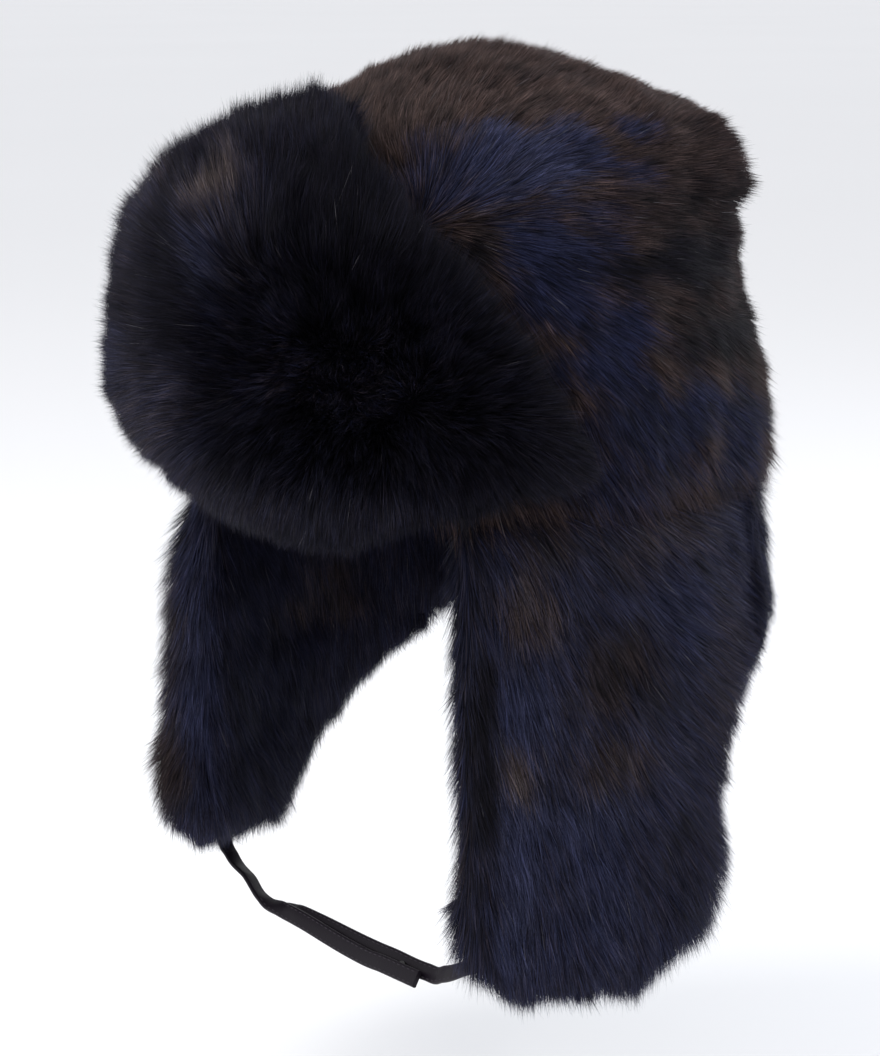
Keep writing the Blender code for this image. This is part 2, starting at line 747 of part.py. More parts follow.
def make_strap(name, rows, collection, grow=0.0, steps=STRAP_STEPS):
    """A flat strap along its route, as a band with a thickness. It can be grown all round."""
    bm = bmesh.new()
    bmesh.ops.create_grid(bm, x_segments=steps, y_segments=1, size=0.5)
    for vert in bm.verts:
        step = round((vert.co.x + 0.5) * steps)
        middle, run, across = strap_route(rows, step / STRAP_STEPS)
        if step == 0:
            middle = middle - run * grow
        vert.co = middle + across * (STRAP_WIDTH + 2 * grow) * vert.co.y
    strap = finish(bm, name, collection)
    solid = strap.modifiers.new("thickness", "SOLIDIFY")
    solid.thickness = STRAP_THICKNESS + 2 * grow
    solid.offset = 0.0
    return strap


def make_stud(collection):
    """The press stud that holds the two straps together, as one plain disc between them."""
    share = float(np.interp(STUD_AT, RIGHT_STRAP["x"], np.linspace(0, 1, len(RIGHT_STRAP["x"]))))
    middle, run, across = strap_route(RIGHT_STRAP, share)
    through = run.cross(across).normalized()
    if through.y < 0:
        through = -through
    disc = {"radius1": STUD_RADIUS, "radius2": STUD_RADIUS, "depth": STUD_THICKNESS}
    bm = bmesh.new()
    bmesh.ops.create_cone(bm, cap_ends=True, segments=STUD_SIDES, **disc)
    middle += through * (STRAP_THICKNESS / 2 + GAP + STUD_THICKNESS / 2)
    middle -= across * STUD_BELOW_MIDDLE
    turned = through.to_track_quat("Z", "Y").to_matrix().to_4x4()
    bmesh.ops.transform(bm, matrix=turned, verts=bm.verts)
    bmesh.ops.translate(bm, verts=bm.verts, vec=middle)
    finish(bm, "strap_stud", collection)


def cut_slot(flap, strap, rows, cutters):
    """Opens the flap's hem where the strap goes up into it."""
    cutter = make_strap(strap, rows, cutters, GAP, SLOT_STEPS)
    cutter.name = flap.name + "_slot"
    cutter.display_type = "WIRE"
    cutter.hide_render = True
    cut = flap.modifiers.new("strap_slot", "BOOLEAN")
    cut.operation = "DIFFERENCE"
    cut.object = cutter


def main():
    """Builds the hat in an emptied scene."""
    for thing in list(bpy.data.objects):
        bpy.data.objects.remove(thing)
    hat = bpy.data.collections.new(NAME)
    cutters = bpy.data.collections.new("cutters")
    bpy.context.scene.collection.children.link(hat)
    bpy.context.scene.collection.children.link(cutters)
    make_crown_wall(hat)
    make_crown_fur(hat)
    make_visor(hat)
    left = make_ear_flap("ear_flap_left", LEFT_FLAP, False, hat)
    right = make_ear_flap("ear_flap_right", RIGHT_FLAP, True, hat)
    make_nape_flap(hat)
    make_strap("strap_left", LEFT_STRAP, hat)
    make_strap("strap_right", RIGHT_STRAP, hat)
    make_stud(hat)
    cut_slot(left, "strap_left", LEFT_STRAP, cutters)
    cut_slot(right, "strap_right", RIGHT_STRAP, cutters)


main()
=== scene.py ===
"""Ushanka: the looks of a fur hat with its visor up, its ear flaps down and its strap fastened.

Metres, +Z up. The wearer looks along -Y and has the left ear at +X. The origin is the middle
of the crown's rim. The file is laid out as an add-on and is run as a script.
"""

import math

import bmesh
import bpy
import numpy as np
from bpy.props import FloatProperty, FloatVectorProperty, IntProperty, PointerProperty
from mathutils import Matrix, Vector, noise
from mathutils.bvhtree import BVHTree


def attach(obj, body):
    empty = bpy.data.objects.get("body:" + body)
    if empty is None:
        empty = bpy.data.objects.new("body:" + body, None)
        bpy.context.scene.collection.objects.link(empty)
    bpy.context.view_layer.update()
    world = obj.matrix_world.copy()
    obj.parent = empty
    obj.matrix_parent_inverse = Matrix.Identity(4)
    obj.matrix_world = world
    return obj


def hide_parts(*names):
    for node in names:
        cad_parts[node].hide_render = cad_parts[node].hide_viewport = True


bl_info = {
    "name": "Ushanka",
    "version": (1, 0, 0),
    "blender": (4, 5, 0),
    "location": "3D View > Sidebar > Ushanka",
    "description": "Dresses the solids of a fur hat in fur, cloth and leather",
    "category": "Object",
}

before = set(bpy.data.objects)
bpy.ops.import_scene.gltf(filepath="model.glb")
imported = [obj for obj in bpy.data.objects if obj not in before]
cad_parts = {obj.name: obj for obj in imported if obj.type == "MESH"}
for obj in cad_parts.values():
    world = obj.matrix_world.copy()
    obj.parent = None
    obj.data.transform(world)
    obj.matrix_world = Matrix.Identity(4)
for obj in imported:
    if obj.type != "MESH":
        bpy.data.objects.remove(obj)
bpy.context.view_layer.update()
BODY = "root"

# The flaps, and all the solids with fur
FLAPS = ("ear_flap_left", "ear_flap_right", "nape_flap")
FURRED = ("crown_fur", "visor", *FLAPS)
# The hair's tones, and those whose shares the patches chart
HAIR_TONES = ("blue", "brown", "bright", "deep", "pale", "guard")
PATCH_TONES = ("brown", "deep", "pale")

# Where a name below has a pair for ease(), it is where a thing begins and where it is whole

# Points nearer to each other than this are joined
MERGED = 1e-6
# The cells and the softening of a pelt, the share of a thin place that it is drawn in by, and
# how much of the fur's swelling it follows
PELT_CELL = 0.0036
PELT_ROUNDS = 10
PELT_THIN = 0.33
PELT_FOLLOWS = 0.8
# How far under the surface the thickness of a place starts to be measured
UNDER = 1e-4
# The hat's rim lies at z = 0. A pelt keeps its height this near to it, so that the crown's
# pelt and the flaps' pelts stay joined there
RIM_KEPT = 0.006
# Beside another flap a pelt isn't drawn in, but swells by this much to close the seam
SEAM_SWELL = 0.0025
AWAY_FROM_SEAM = (0.003, 0.010)
# The cells and the softening of the form that the strands end at, common to all the fur, and
# how far it stands off the softened solids
FORM_CELL = 0.0030
FORM_ROUNDS = 8
FORM_SWELL = 0.0020

# The line on the visor that its fur is combed away from. The fur stands up near to it, and a
# little along the visor's top
VISOR_PARTING = ((0.030, -0.128, 0.052), (0.086, -0.090, 0.040))
NEAR_PARTING = (0.055, 0.008)
PARTING_STAND = 0.95
VISOR_TOP = (0.085, 0.120)
VISOR_TOP_STAND = 0.20
# The places at the sides of the crown that its fur fans out from, mirrored at the middle
FAN_POINT = (0.060, -0.074, 0.095)
FAN_BLEND = 0.030
# The heights of the crown's top, the way that its fur lies there, and how far up the fur at
# its rim is longer
CROWN_TOP = (0.112, 0.136)
TOP_LAY = (-0.15, 1.0, 0.0)
RIM_FUR = 0.020
# How steeply the fur of the crown's sides lies down, and how much more so at their foot
SIDE_DROP, FOOT_DROP = 0.20, 0.65
CROWN_FOOT = (0.075, 0.015)
# How far the flaps' fur leans back on their outside: everywhere, towards the top, and at the
# top's rear. The rear is told by y, and the top by the distance under the rim
LEAN, TOP_LEAN, REAR_LEAN = 0.10, 0.15, 0.75
FLAP_OUTSIDE = (-0.2, 0.4)
FLAP_REAR = (-0.060, 0.050)
FLAP_DROP = (0.170, 0.020)

# Hair grows on the crown where its pelt faces away from the middle of the hollow, over its
# foot and clear of the visor, on the visor where its pelt doesn't face the crown, and on the
# flaps but for their upper ends
CROWN_MIDDLE = (0.0, 0.0, 0.02)
CROWN_FACING = (-0.1, 0.25)
CROWN_BARE = 0.0015
VISOR_CLEAR = (0.002, 0.012)
VISOR_FACING = (-0.55, -0.15)
FLAP_BARE = -0.0025
FLAP_UPWARD = 0.6
CLOUD = (0.6, 2.1, 3)
CLOUD_DEPTH = 0.55

# The share of the scattered long pale hairs
GUARD_SHARE = 0.0016
VISOR_GUARD_SHARE = 0.0006
# A hair's colour is read this share of its length ahead of its root, where it shows
AHEAD = 0.6
# Factors that make further numbers between 0 and 1 from a hair's chance: for its share of
# brown, its share of near black, its tip and its brightness
BROWN_DRAW, DEEP_DRAW, TIP_DRAW, TONE_DRAW = 61.0, 97.0, 23.0, 37.0
# How wide and how deep the tongues at the edges of the patches are, and at which shares of
# its reach a patch fades
RAGGED = 0.016
RAGGED_REACH = 1.3
PATCH_FADE = (1.75, 0.35)


def table(columns, *rows):
    """Rows of numbers under named columns."""
    return dict(zip(columns.split(), np.array(rows, float).T))


# Places where the fur stands fuller than the solids, how far each reaches and how far it swells:
# the crown's corner, its top and its back, the left flap's hem, the right flap's edges, and the
# visor's right side
FULLER = table(
    "x y z reach out",
    (0.080, 0.064, 0.112, 0.036, 0.007),
    (-0.010, 0.000, 0.150, 0.060, 0.003),
    (0.084, 0.078, 0.018, 0.045, 0.004),
    (0.096, -0.015, -0.175, 0.050, 0.005),
    (0.080, -0.066, -0.163, 0.032, 0.005),
    (0.100, 0.030, -0.145, 0.042, 0.005),
    (-0.088, -0.084, -0.050, 0.058, 0.006),
    (-0.083, -0.076, -0.125, 0.050, 0.005),
    (-0.083, -0.028, -0.140, 0.042, 0.006),
    (-0.064, -0.108, 0.070, 0.070, 0.004),
)
# The share of its reach within which such a place is whole, and the swelling at which the
# hair stands highest
FULL_WITHIN = 0.2
FULLEST = 0.008
# The shares of brown, near black and pale tips where no patch lies
CROWN_BASE = (1.0, 0.10, 0.15)
VISOR_BASE = (0.30, 0.90, 0.08)
LEFT_BASE = (0.20, 0.34, 0.30)
FAR_BASE = (0.25, 0.45, 0.20)
# Patches of the fur, charted one by one: the middle of each, how far it reaches across and up, its own
# shares, and how strongly it shows
PATCH = "x y z across up brown deep pale strength"
CROWN_PATCHES = table(
    PATCH,
    (0.090, 0.050, 0.075, 0.060, 0.045, 1.0, 0.72, 0.0, 0.90),
    (-0.090, 0.050, 0.075, 0.060, 0.045, 1.0, 0.72, 0.0, 0.90),
    (0.000, 0.118, 0.075, 0.070, 0.050, 1.0, 0.72, 0.0, 0.85),
    (0.069, -0.050, 0.112, 0.022, 0.014, 0.0, 0.0, 0.4, 1.00),
    (0.073, -0.032, 0.119, 0.015, 0.011, 0.0, 0.0, 0.8, 1.00),
    (0.074, -0.016, 0.124, 0.010, 0.006, 0.0, 0.0, 0.3, 0.75),
    (0.053, -0.064, 0.116, 0.012, 0.010, 0.1, 0.2, 0.3, 0.60),
    (0.087, -0.038, 0.090, 0.024, 0.013, 0.0, 0.0, 0.15, 1.00),
    (0.089, -0.036, 0.074, 0.014, 0.010, 0.0, 0.1, 0.0, 0.90),
    (0.095, -0.014, 0.059, 0.020, 0.012, 0.0, 0.0, 0.0, 0.95),
    (0.094, -0.024, 0.047, 0.018, 0.010, 0.0, 0.1, 0.0, 0.95),
    (0.096, 0.022, 0.031, 0.024, 0.010, 0.0, 0.0, 0.0, 0.95),
    (0.100, -0.004, 0.024, 0.028, 0.014, 0.0, 0.2, 0.0, 0.90),
    (0.088, 0.053, 0.014, 0.022, 0.016, 0.0, 0.1, 0.0, 0.90),
    (0.102, -0.010, 0.005, 0.030, 0.010, 0.2, 0.2, 0.1, 0.80),
    (0.074, 0.016, 0.127, 0.009, 0.006, 0.0, 0.0, 0.1, 0.90),
    (0.085, 0.003, 0.112, 0.010, 0.005, 0.0, 0.0, 0.0, 0.80),
    (0.098, -0.048, 0.030, 0.012, 0.030, 0.2, 1.0, 0.0, 0.80),
    (0.074, -0.062, 0.090, 0.008, 0.018, 0.9, 0.9, 0.1, 1.00),
    # Painted shade: this thin band of near black hair darkens a crease in the crown's side
    (0.090, 0.022, 0.080, 0.030, 0.007, 0.4, 1.0, 0.0, 1.00),
    (0.092, 0.040, 0.052, 0.024, 0.006, 0.5, 1.0, 0.0, 0.90),
    (-0.080, -0.040, 0.100, 0.032, 0.019, 0.0, 0.0, 0.2, 0.75),
    (-0.094, 0.000, 0.055, 0.040, 0.018, 0.0, 0.1, 0.0, 0.70),
    (-0.088, 0.050, 0.020, 0.030, 0.018, 0.0, 0.2, 0.0, 0.90),
    (0.010, 0.105, 0.100, 0.030, 0.016, 0.0, 0.1, 0.0, 0.80),
    (-0.030, 0.115, 0.030, 0.040, 0.018, 0.0, 0.2, 0.0, 0.80),
)
VISOR_PATCHES = table(
    PATCH,
    (-0.040, -0.114, 0.108, 0.018, 0.018, 0.9, 0.7, 0.3, 0.65),
    (-0.037, -0.127, 0.067, 0.018, 0.045, 0.5, 0.85, 0.15, 0.60),
    (-0.035, -0.118, 0.098, 0.010, 0.012, 0.1, 0.3, 0.5, 0.60),
    (-0.040, -0.128, 0.045, 0.012, 0.011, 0.0, 0.3, 0.4, 0.60),
    (-0.010, -0.138, 0.036, 0.012, 0.008, 0.0, 0.3, 0.4, 0.60),
    (0.006, -0.135, 0.018, 0.014, 0.006, 0.0, 0.3, 0.4, 0.55),
    (-0.008, -0.124, 0.104, 0.008, 0.009, 0.1, 1.0, 0.0, 0.90),
    (-0.006, -0.133, 0.071, 0.012, 0.016, 0.2, 1.0, 0.0, 0.75),
    (0.060, -0.110, 0.048, 0.034, 0.024, 0.4, 0.35, 0.30, 0.90),
    (-0.016, -0.136, 0.025, 0.026, 0.018, 0.6, 0.6, 0.5, 0.60),
    (-0.014, -0.098, 0.129, 0.030, 0.008, 0.5, 0.85, 0.15, 0.60),
    (0.034, -0.091, 0.131, 0.030, 0.006, 0.4, 0.9, 0.2, 0.50),
    (0.014, -0.128, 0.003, 0.040, 0.008, 0.4, 0.60, 0.38, 0.60),
    (0.060, -0.105, 0.000, 0.035, 0.005, 0.4, 0.6, 0.4, 0.50),
    (0.095, -0.050, 0.012, 0.020, 0.005, 0.7, 0.5, 0.3, 0.45),
    (0.012, -0.128, 0.093, 0.008, 0.014, 0.0, 0.3, 0.6, 0.75),
    (0.014, -0.124, 0.113, 0.019, 0.010, 0.9, 0.0, 1.0, 1.00),
    (0.032, -0.121, 0.094, 0.012, 0.008, 0.6, 0.6, 0.5, 0.45),
    (0.048, -0.108, 0.114, 0.024, 0.015, 0.2, 1.0, 0.0, 1.00),
    (0.067, -0.098, 0.096, 0.020, 0.014, 0.2, 1.0, 0.0, 1.00),
    (0.092, -0.056, 0.035, 0.028, 0.036, 0.3, 0.92, 0.05, 0.90),
    (0.050, -0.112, 0.015, 0.042, 0.011, 0.2, 0.95, 0.1, 0.75),
)
LEFT_PATCHES = table(
    PATCH,
    (0.105, 0.035, -0.070, 0.014, 0.036, 0.6, 0.5, 0.2, 0.55),
    (0.110, -0.004, -0.130, 0.030, 0.016, 0.3, 0.6, 0.1, 0.45),
    (0.092, -0.058, -0.119, 0.008, 0.036, 0.0, 0.0, 0.7, 0.90),
    (0.093, -0.055, -0.062, 0.008, 0.012, 0.0, 0.0, 0.6, 0.90),
    (0.103, -0.036, -0.108, 0.014, 0.010, 0.0, 0.0, 0.7, 0.70),
    (0.107, -0.032, -0.134, 0.016, 0.018, 0.0, 0.0, 0.5, 0.60),
    (0.108, 0.010, -0.040, 0.014, 0.018, 0.0, 0.0, 0.3, 0.60),
    (0.094, -0.054, -0.035, 0.010, 0.012, 0.9, 0.2, 0.5, 0.70),
    (0.104, -0.021, -0.057, 0.017, 0.012, 0.9, 0.8, 0.0, 0.80),
    (0.094, -0.060, -0.088, 0.006, 0.008, 1.0, 0.1, 0.8, 0.85),
    (0.106, -0.022, -0.088, 0.016, 0.008, 0.9, 0.4, 0.3, 0.65),
    (0.103, -0.002, -0.012, 0.024, 0.011, 0.8, 0.3, 0.4, 0.55),
    (0.095, -0.045, -0.012, 0.013, 0.006, 0.8, 0.4, 0.4, 0.60),
    # Painted shade: this thin column of near black hair darkens the parting behind the flap's front roll,
    # which the next row draws
    (0.0850, -0.0665, -0.080, 0.004, 0.095, 0.3, 1.0, 0.0, 0.95),
    (0.079, -0.077, -0.080, 0.005, 0.085, 0.5, 0.5, 0.5, 0.80),
    (0.070, 0.000, -0.080, 0.020, 0.090, 0.2, 0.7, 0.0, 0.50),
)
RIGHT_PATCHES = table(
    PATCH,
    (-0.071, -0.074, -0.085, 0.006, 0.065, 0.0, 0.0, 0.5, 1.00),
    (-0.087, -0.082, -0.070, 0.008, 0.060, 0.7, 0.3, 0.6, 0.80),
    (-0.085, -0.083, -0.124, 0.012, 0.014, 1.0, 0.6, 0.1, 0.90),
    (-0.080, -0.035, -0.100, 0.030, 0.060, 0.1, 0.6, 0.15, 0.80),
    (-0.077, -0.066, -0.146, 0.020, 0.010, 0.2, 0.2, 0.4, 0.60),
    (-0.112, 0.000, -0.060, 0.026, 0.020, 1.0, 0.4, 0.2, 0.80),
    (-0.110, 0.030, -0.020, 0.020, 0.014, 0.9, 0.3, 0.2, 0.70),
)
NAPE_PATCHES = table(
    PATCH,
    (0.010, 0.120, -0.020, 0.040, 0.016, 0.9, 0.3, 0.2, 0.80),
    (-0.070, 0.090, -0.045, 0.020, 0.016, 0.9, 0.4, 0.1, 0.80),
    (0.060, 0.095, -0.055, 0.018, 0.014, 0.8, 0.3, 0.2, 0.60),
)


def size(name, about, default, digits=4):
    """A property that holds a length."""
    return FloatProperty(
        name=name, description=about, default=default, min=0.0, precision=digits, unit="LENGTH"
    )


def turn(name, about, default):
    """A property that holds an angle."""
    return FloatProperty(name=name, description=about, default=math.radians(default), subtype="ANGLE")


def share(name, about, default):
    """A property that holds a share."""
    return FloatProperty(name=name, description=about, default=default, min=0.0, subtype="FACTOR")


def color(name, about, *default):
    """A property that holds a colour."""
    return FloatVectorProperty(
        name=name, description=about, default=default, min=0.0, max=1.0, subtype="COLOR"
    )


def number(name, about, default):
    """A property that holds a count."""
    return IntProperty(name=name, description=about, default=default, min=1)


class FurTones(bpy.types.PropertyGroup):
    """Colours that all the fur shares."""

    blue: color("Blue", "Dyed blue-grey hair", 0.0205, 0.0250, 0.0700)
    bright: color("Bright", "Blue-grey tips", 0.080, 0.088, 0.170)
    brown: color("Brown", "Brown-grey hair", 0.081, 0.050, 0.044)
    deep: color("Deep", "Near black hair", 0.0070, 0.0064, 0.0108)
    pale: color("Pale", "Pale grey-brown tips", 0.155, 0.128, 0.122)
    guard: color("Guard hairs", "Scattered long pale hairs", 0.20, 0.19, 0.21)
    # Painted shade: hair is drawn darker towards its root, for the shade deep in the fur
    root_shade: share("Root shade", "How dark a hair is at its root", 0.25)
    fibre: size("Fibre", "Width of the fine streaks in the underfur", 0.0006, 5)


class CrownSizes(bpy.types.PropertyGroup):
    """Sizes of the crown."""

    strands: number("Strands", "Hairs on the crown", 330000)
    hair: size("Hair length", "Length of the crown's hair", 0.0100)
    width: size("Hair width", "Width of one strand", 0.00028, 5)
    lift: turn("Lift", "How far the hair stands off the pelt", 20)
    tuft: size("Tuft", "Width of the tufts that the hair gathers in", 0.0070)
    pelt: size("Pelt depth", "How deep the pelt lies under the fur's form", 0.0035)
    weave: size("Weave", "Width of one thread of the cloth", 0.0007, 5)
    cloth: color("Cloth", "Cloth inside the crown", 0.012, 0.012, 0.016)


class VisorSizes(bpy.types.PropertyGroup):
    """Sizes of the visor."""

    strands: number("Strands", "Hairs on the visor", 180000)
    hair: size("Hair length", "Length of the visor's hair", 0.0220)
    width: size("Hair width", "Width of one strand", 0.00028, 5)
    lift: turn("Lift", "How far the hair stands off the pelt", 26)
    tuft: size("Tuft", "Width of the tufts that the hair gathers in", 0.0070)
    pelt: size("Pelt depth", "How deep the pelt lies under the fur's form", 0.0080)


class FlapSizes(bpy.types.PropertyGroup):
    """Sizes of the ear flaps and the nape flap."""

    strands: number("Strands", "Hairs on an ear flap", 140000)
    nape_strands: number("Nape strands", "Hairs on the nape flap", 60000)
    hair: size("Hair length", "Length of the flaps' hair", 0.0160)
    width: size("Hair width", "Width of one strand", 0.00028, 5)
    lift: turn("Lift", "How far the hair stands off the pelt", 20)
    tuft: size("Tuft", "Width of the tufts that the hair gathers in", 0.0065)
    pelt: size("Pelt depth", "How deep the pelt lies under the fur's form", 0.0055)


class StrapSizes(bpy.types.PropertyGroup):
    """Sizes and colours of the chin strap."""

    width: size("Width", "Width of a strap", 0.0065)
    thickness: size("Thickness", "Thickness of a strap", 0.0018)
    stitch: size("Stitch", "Length of one stitch", 0.0021)
    pitch: size("Pitch", "Distance from one stitch to the next", 0.0031)
    thread: size("Thread", "Width of the thread", 0.00042, 5)
    inset: size("Inset", "Distance from the stitches to the edge", 0.0010)
    leather: color("Leather", "Leather of the straps", 0.0062, 0.0043, 0.0078)
    # Rubbed leather and painted sheen: the straps' edges are drawn in this lighter colour
    worn_and_sheen: color("Worn leather", "Leather rubbed along its edges", 0.019, 0.015, 0.021)
    yarn: color("Thread colour", "Thread of the stitches", 0.036, 0.031, 0.040)


class StageSizes(bpy.types.PropertyGroup):
    """The floor, the lights and the camera."""

    drop: size("Floor drop", "Distance from the rim down to the floor", 0.260)
    floor: color("Floor", "Colour of the floor", 0.86, 0.86, 0.87)
    sky: share("Sky", "Strength of the even light from all round", 0.95)
    key: FloatProperty(name="Key light", description="Power of the main light", default=16.0, unit="POWER")
    rim: FloatProperty(name="Rim light", description="Power of the light behind", default=10.0, unit="POWER")
    azimuth: turn("Azimuth", "Turn of the camera round the hat", 50)
    elevation: turn("Elevation", "Height of the camera over the horizon", 12)
    distance: size("Distance", "Distance from the camera to the rim's middle", 1.0)


class HatSettings(bpy.types.PropertyGroup):
    """All the hat's settings."""

    tones: PointerProperty(type=FurTones)
    crown: PointerProperty(type=CrownSizes)
    visor: PointerProperty(type=VisorSizes)
    flaps: PointerProperty(type=FlapSizes)
    straps: PointerProperty(type=StrapSizes)
    stage: PointerProperty(type=StageSizes)


# How the nodes of a tree are spread out in the editor
NODE_ACROSS, NODE_DOWN, NODE_ROWS = 190, 60, 5


class Wiring:
    """Adds nodes to a tree from left to right and joins them."""

    def __init__(self, tree):
        self.tree = tree
        self.step = 0

    def add(self, kind, *values, named=None, **settings):
        """A node with its settings. Values go to its shown inputs in order, or by name."""
        node = self.tree.nodes.new(kind)
        node.location = (NODE_ACROSS * self.step, -NODE_DOWN * (self.step % NODE_ROWS))
        self.step += 1
        for name, value in settings.items():
            setattr(node, name, value)
        shown = [socket for socket in node.inputs if socket.enabled]
        pairs = list(zip(shown, values))
        for name, value in (named or {}).items():
            pairs.append((next(socket for socket in shown if socket.name == name), value))
        for socket, value in pairs:
            self.feed(socket, value)
        return node

    def feed(self, socket, value):
        """Sets an input, or joins an output to it. None leaves it as it is."""
        if isinstance(value, bpy.types.NodeSocket):
            self.tree.links.new(value, socket)
        elif value is not None:
            socket.default_value = value

    def out(self, kind, *values, **settings):
        """The first shown output of a new node."""
        node = self.add(kind, *values, **settings)
        return next(socket for socket in node.outputs if socket.enabled)

    def math(self, operation, *values):
        """Arithmetic on numbers."""
        return self.out("ShaderNodeMath", *values, operation=operation)

    def vector(self, operation, *values):
        """Arithmetic on vectors."""
        return self.out("ShaderNodeVectorMath", *values, operation=operation)

    def between(self, value, low, high):
        """A value from 0 to 1, laid between two numbers."""
        return self.math("MULTIPLY_ADD", value, high - low, low)

    def scaled(self, vector, by):
        """A vector times a number."""
        return self.vector("SCALE", vector, by)

    def mix(self, amount, first, second):
        """A colour between two."""
        return self.out("ShaderNodeMix", amount, first, second, data_type="RGBA")

    def place(self):
        """The place on the object, in its own metres."""
        return self.add("ShaderNodeTexCoord").outputs["Object"]

    def noise(self, place, scale, detail):
        """Cloudy values over a place."""
        return self.add("ShaderNodeTexNoise", place, named={"Scale": scale, "Detail": detail}).outputs["Fac"]

    def bump(self, shader, height, strength, distance):
        """Gives a shader a relief."""
        bump = self.add("ShaderNodeBump", named={"Strength": strength, "Distance": distance})
        self.feed(bump.inputs["Height"], height)
        self.feed(shader.inputs["Normal"], bump.outputs["Normal"])


def new_tree(name, kind, inputs, outputs):
    """A node group with its sockets: its wiring, its input node and its output node."""
    tree = bpy.data.node_groups.new(name, kind)
    for in_out, rows in (("INPUT", inputs), ("OUTPUT", outputs)):
        for label, socket, *default in rows:
            made = tree.interface.new_socket(label, in_out=in_out, socket_type=socket)
            if default:
                made.default_value = default[0]
    wiring = Wiring(tree)
    return wiring, wiring.add("NodeGroupInput"), wiring.add("NodeGroupOutput")


def fur_tree():
    """Strands over a pelt: they follow its lay, gather in tufts, and end at the hat's form."""
    number_in, vector_in = "NodeSocketFloat", "NodeSocketVector"
    wire, given, result = new_tree(
        "fur_strands",
        "GeometryNodeTree",
        [
            ("Pelt", "NodeSocketGeometry"),
            ("Strand", "NodeSocketObject"),
            ("Form", "NodeSocketObject"),
            ("Density", number_in, 1e6),
            ("Length", number_in, 0.02),
            ("Length Spread", number_in, 0.30),
            ("Fuzz", number_in, 0.006),
            ("Width", number_in, 0.0003),
            ("Lift", number_in, 0.4),
            ("Lift Spread", number_in, 0.15),
            ("Tuft Size", number_in, 0.006),
            ("Tuft Pull", number_in, 0.32),
            ("Flow Size", number_in, 0.030),
            ("Flow Strength", number_in, 0.35),
            ("Wave Size", number_in, 0.009),
            ("Wave Strength", number_in, 0.25),
            ("Stray", vector_in, (0.15, 0.15, 0.15)),
            ("Roll", vector_in, (0.45, 0.45, 0.45)),
            ("Lock Size", number_in, 0.0024),
            ("Guard Share", number_in, 0.003),
            ("Guard Growth", number_in, 0.0015),
            ("Seed", "NodeSocketInt", 1),
            ("Finish", "NodeSocketMaterial"),
        ],
        [("Fur", "NodeSocketGeometry")],
    )
    of = given.outputs

    def carried(name, kind="FLOAT"):
        return wire.out("GeometryNodeInputNamedAttribute", name, data_type=kind)

    def by_chance(low, high, seed, kind="FLOAT"):
        seed = wire.math("ADD", of["Seed"], float(seed))
        return wire.out("FunctionNodeRandomValue", low, high, None, seed, data_type=kind)

    def flow(scale, strength):
        """A direction that changes slowly over the pelt."""
        scale = wire.math("DIVIDE", 1.0, scale)
        made = wire.add("ShaderNodeTexNoise", place, named={"Scale": scale, "Detail": 1.0})
        centred = wire.vector("SUBTRACT", made.outputs["Color"], (0.5, 0.5, 0.5))
        return wire.scaled(centred, wire.math("MULTIPLY", strength, 2.0))

    density = wire.math("MULTIPLY", of["Density"], carried("cover"))
    spread = wire.add(
        "GeometryNodeDistributePointsOnFaces",
        named={"Mesh": of["Pelt"], "Density": density, "Seed": of["Seed"]},
    )
    normal = wire.vector("NORMALIZE", carried("skin", "FLOAT_VECTOR"))
    place = wire.out("GeometryNodeInputPosition")
    chance = by_chance(0.0, 1.0, 1)
    guard = wire.math("LESS_THAN", chance, of["Guard Share"])
    longer = wire.math("MULTIPLY_ADD", by_chance(-1.0, 1.0, 2), of["Length Spread"], 1.0)
    length = wire.math("MULTIPLY", wire.math("MULTIPLY", of["Length"], longer), carried("reach"))

    lift = wire.math("MULTIPLY", by_chance(-1.0, 1.0, 3), of["Lift Spread"])
    lift = wire.math("ADD", wire.math("ADD", of["Lift"], carried("stand")), lift)
    along = wire.scaled(carried("lay", "FLOAT_VECTOR"), wire.math("COSINE", lift))
    along = wire.vector("ADD", along, wire.scaled(normal, wire.math("SINE", lift)))

    cell = wire.math("DIVIDE", 1.0, of["Tuft Size"])
    cells = wire.add("ShaderNodeTexVoronoi", place, named={"Scale": cell})
    pull = wire.vector("SUBTRACT", cells.outputs["Position"], place)
    along = wire.vector("ADD", along, wire.scaled(pull, wire.math("DIVIDE", of["Tuft Pull"], length)))
    along = wire.vector("ADD", along, flow(of["Flow Size"], of["Flow Strength"]))
    along = wire.vector("ADD", along, flow(of["Wave Size"], of["Wave Strength"]))
    stray = by_chance(wire.scaled(of["Stray"], -1.0), of["Stray"], 4, "FLOAT_VECTOR")
    along = wire.vector("NORMALIZE", wire.vector("ADD", along, stray))

    form = wire.add("GeometryNodeObjectInfo", of["Form"]).outputs["Geometry"]
    ray = wire.add(
        "GeometryNodeRaycast",
        named={"Target Geometry": form, "Source Position": place, "Ray Direction": along, "Ray Length": 0.1},
    )
    past = wire.math("POWER", by_chance(0.0, 1.0, 8), 3.0)
    past = wire.math("MULTIPLY", wire.math("MULTIPLY", past, of["Fuzz"]), carried("reach"))
    past = wire.math("MULTIPLY_ADD", guard, of["Guard Growth"], past)
    limit = wire.math("MULTIPLY", ray.outputs["Hit Distance"], by_chance(0.80, 1.0, 9))
    limit = wire.math("ADD", limit, past)
    met = wire.out("GeometryNodeSwitch", ray.outputs["Is Hit"], 0.002, limit, input_type="FLOAT")
    length = wire.math("MINIMUM", length, met)

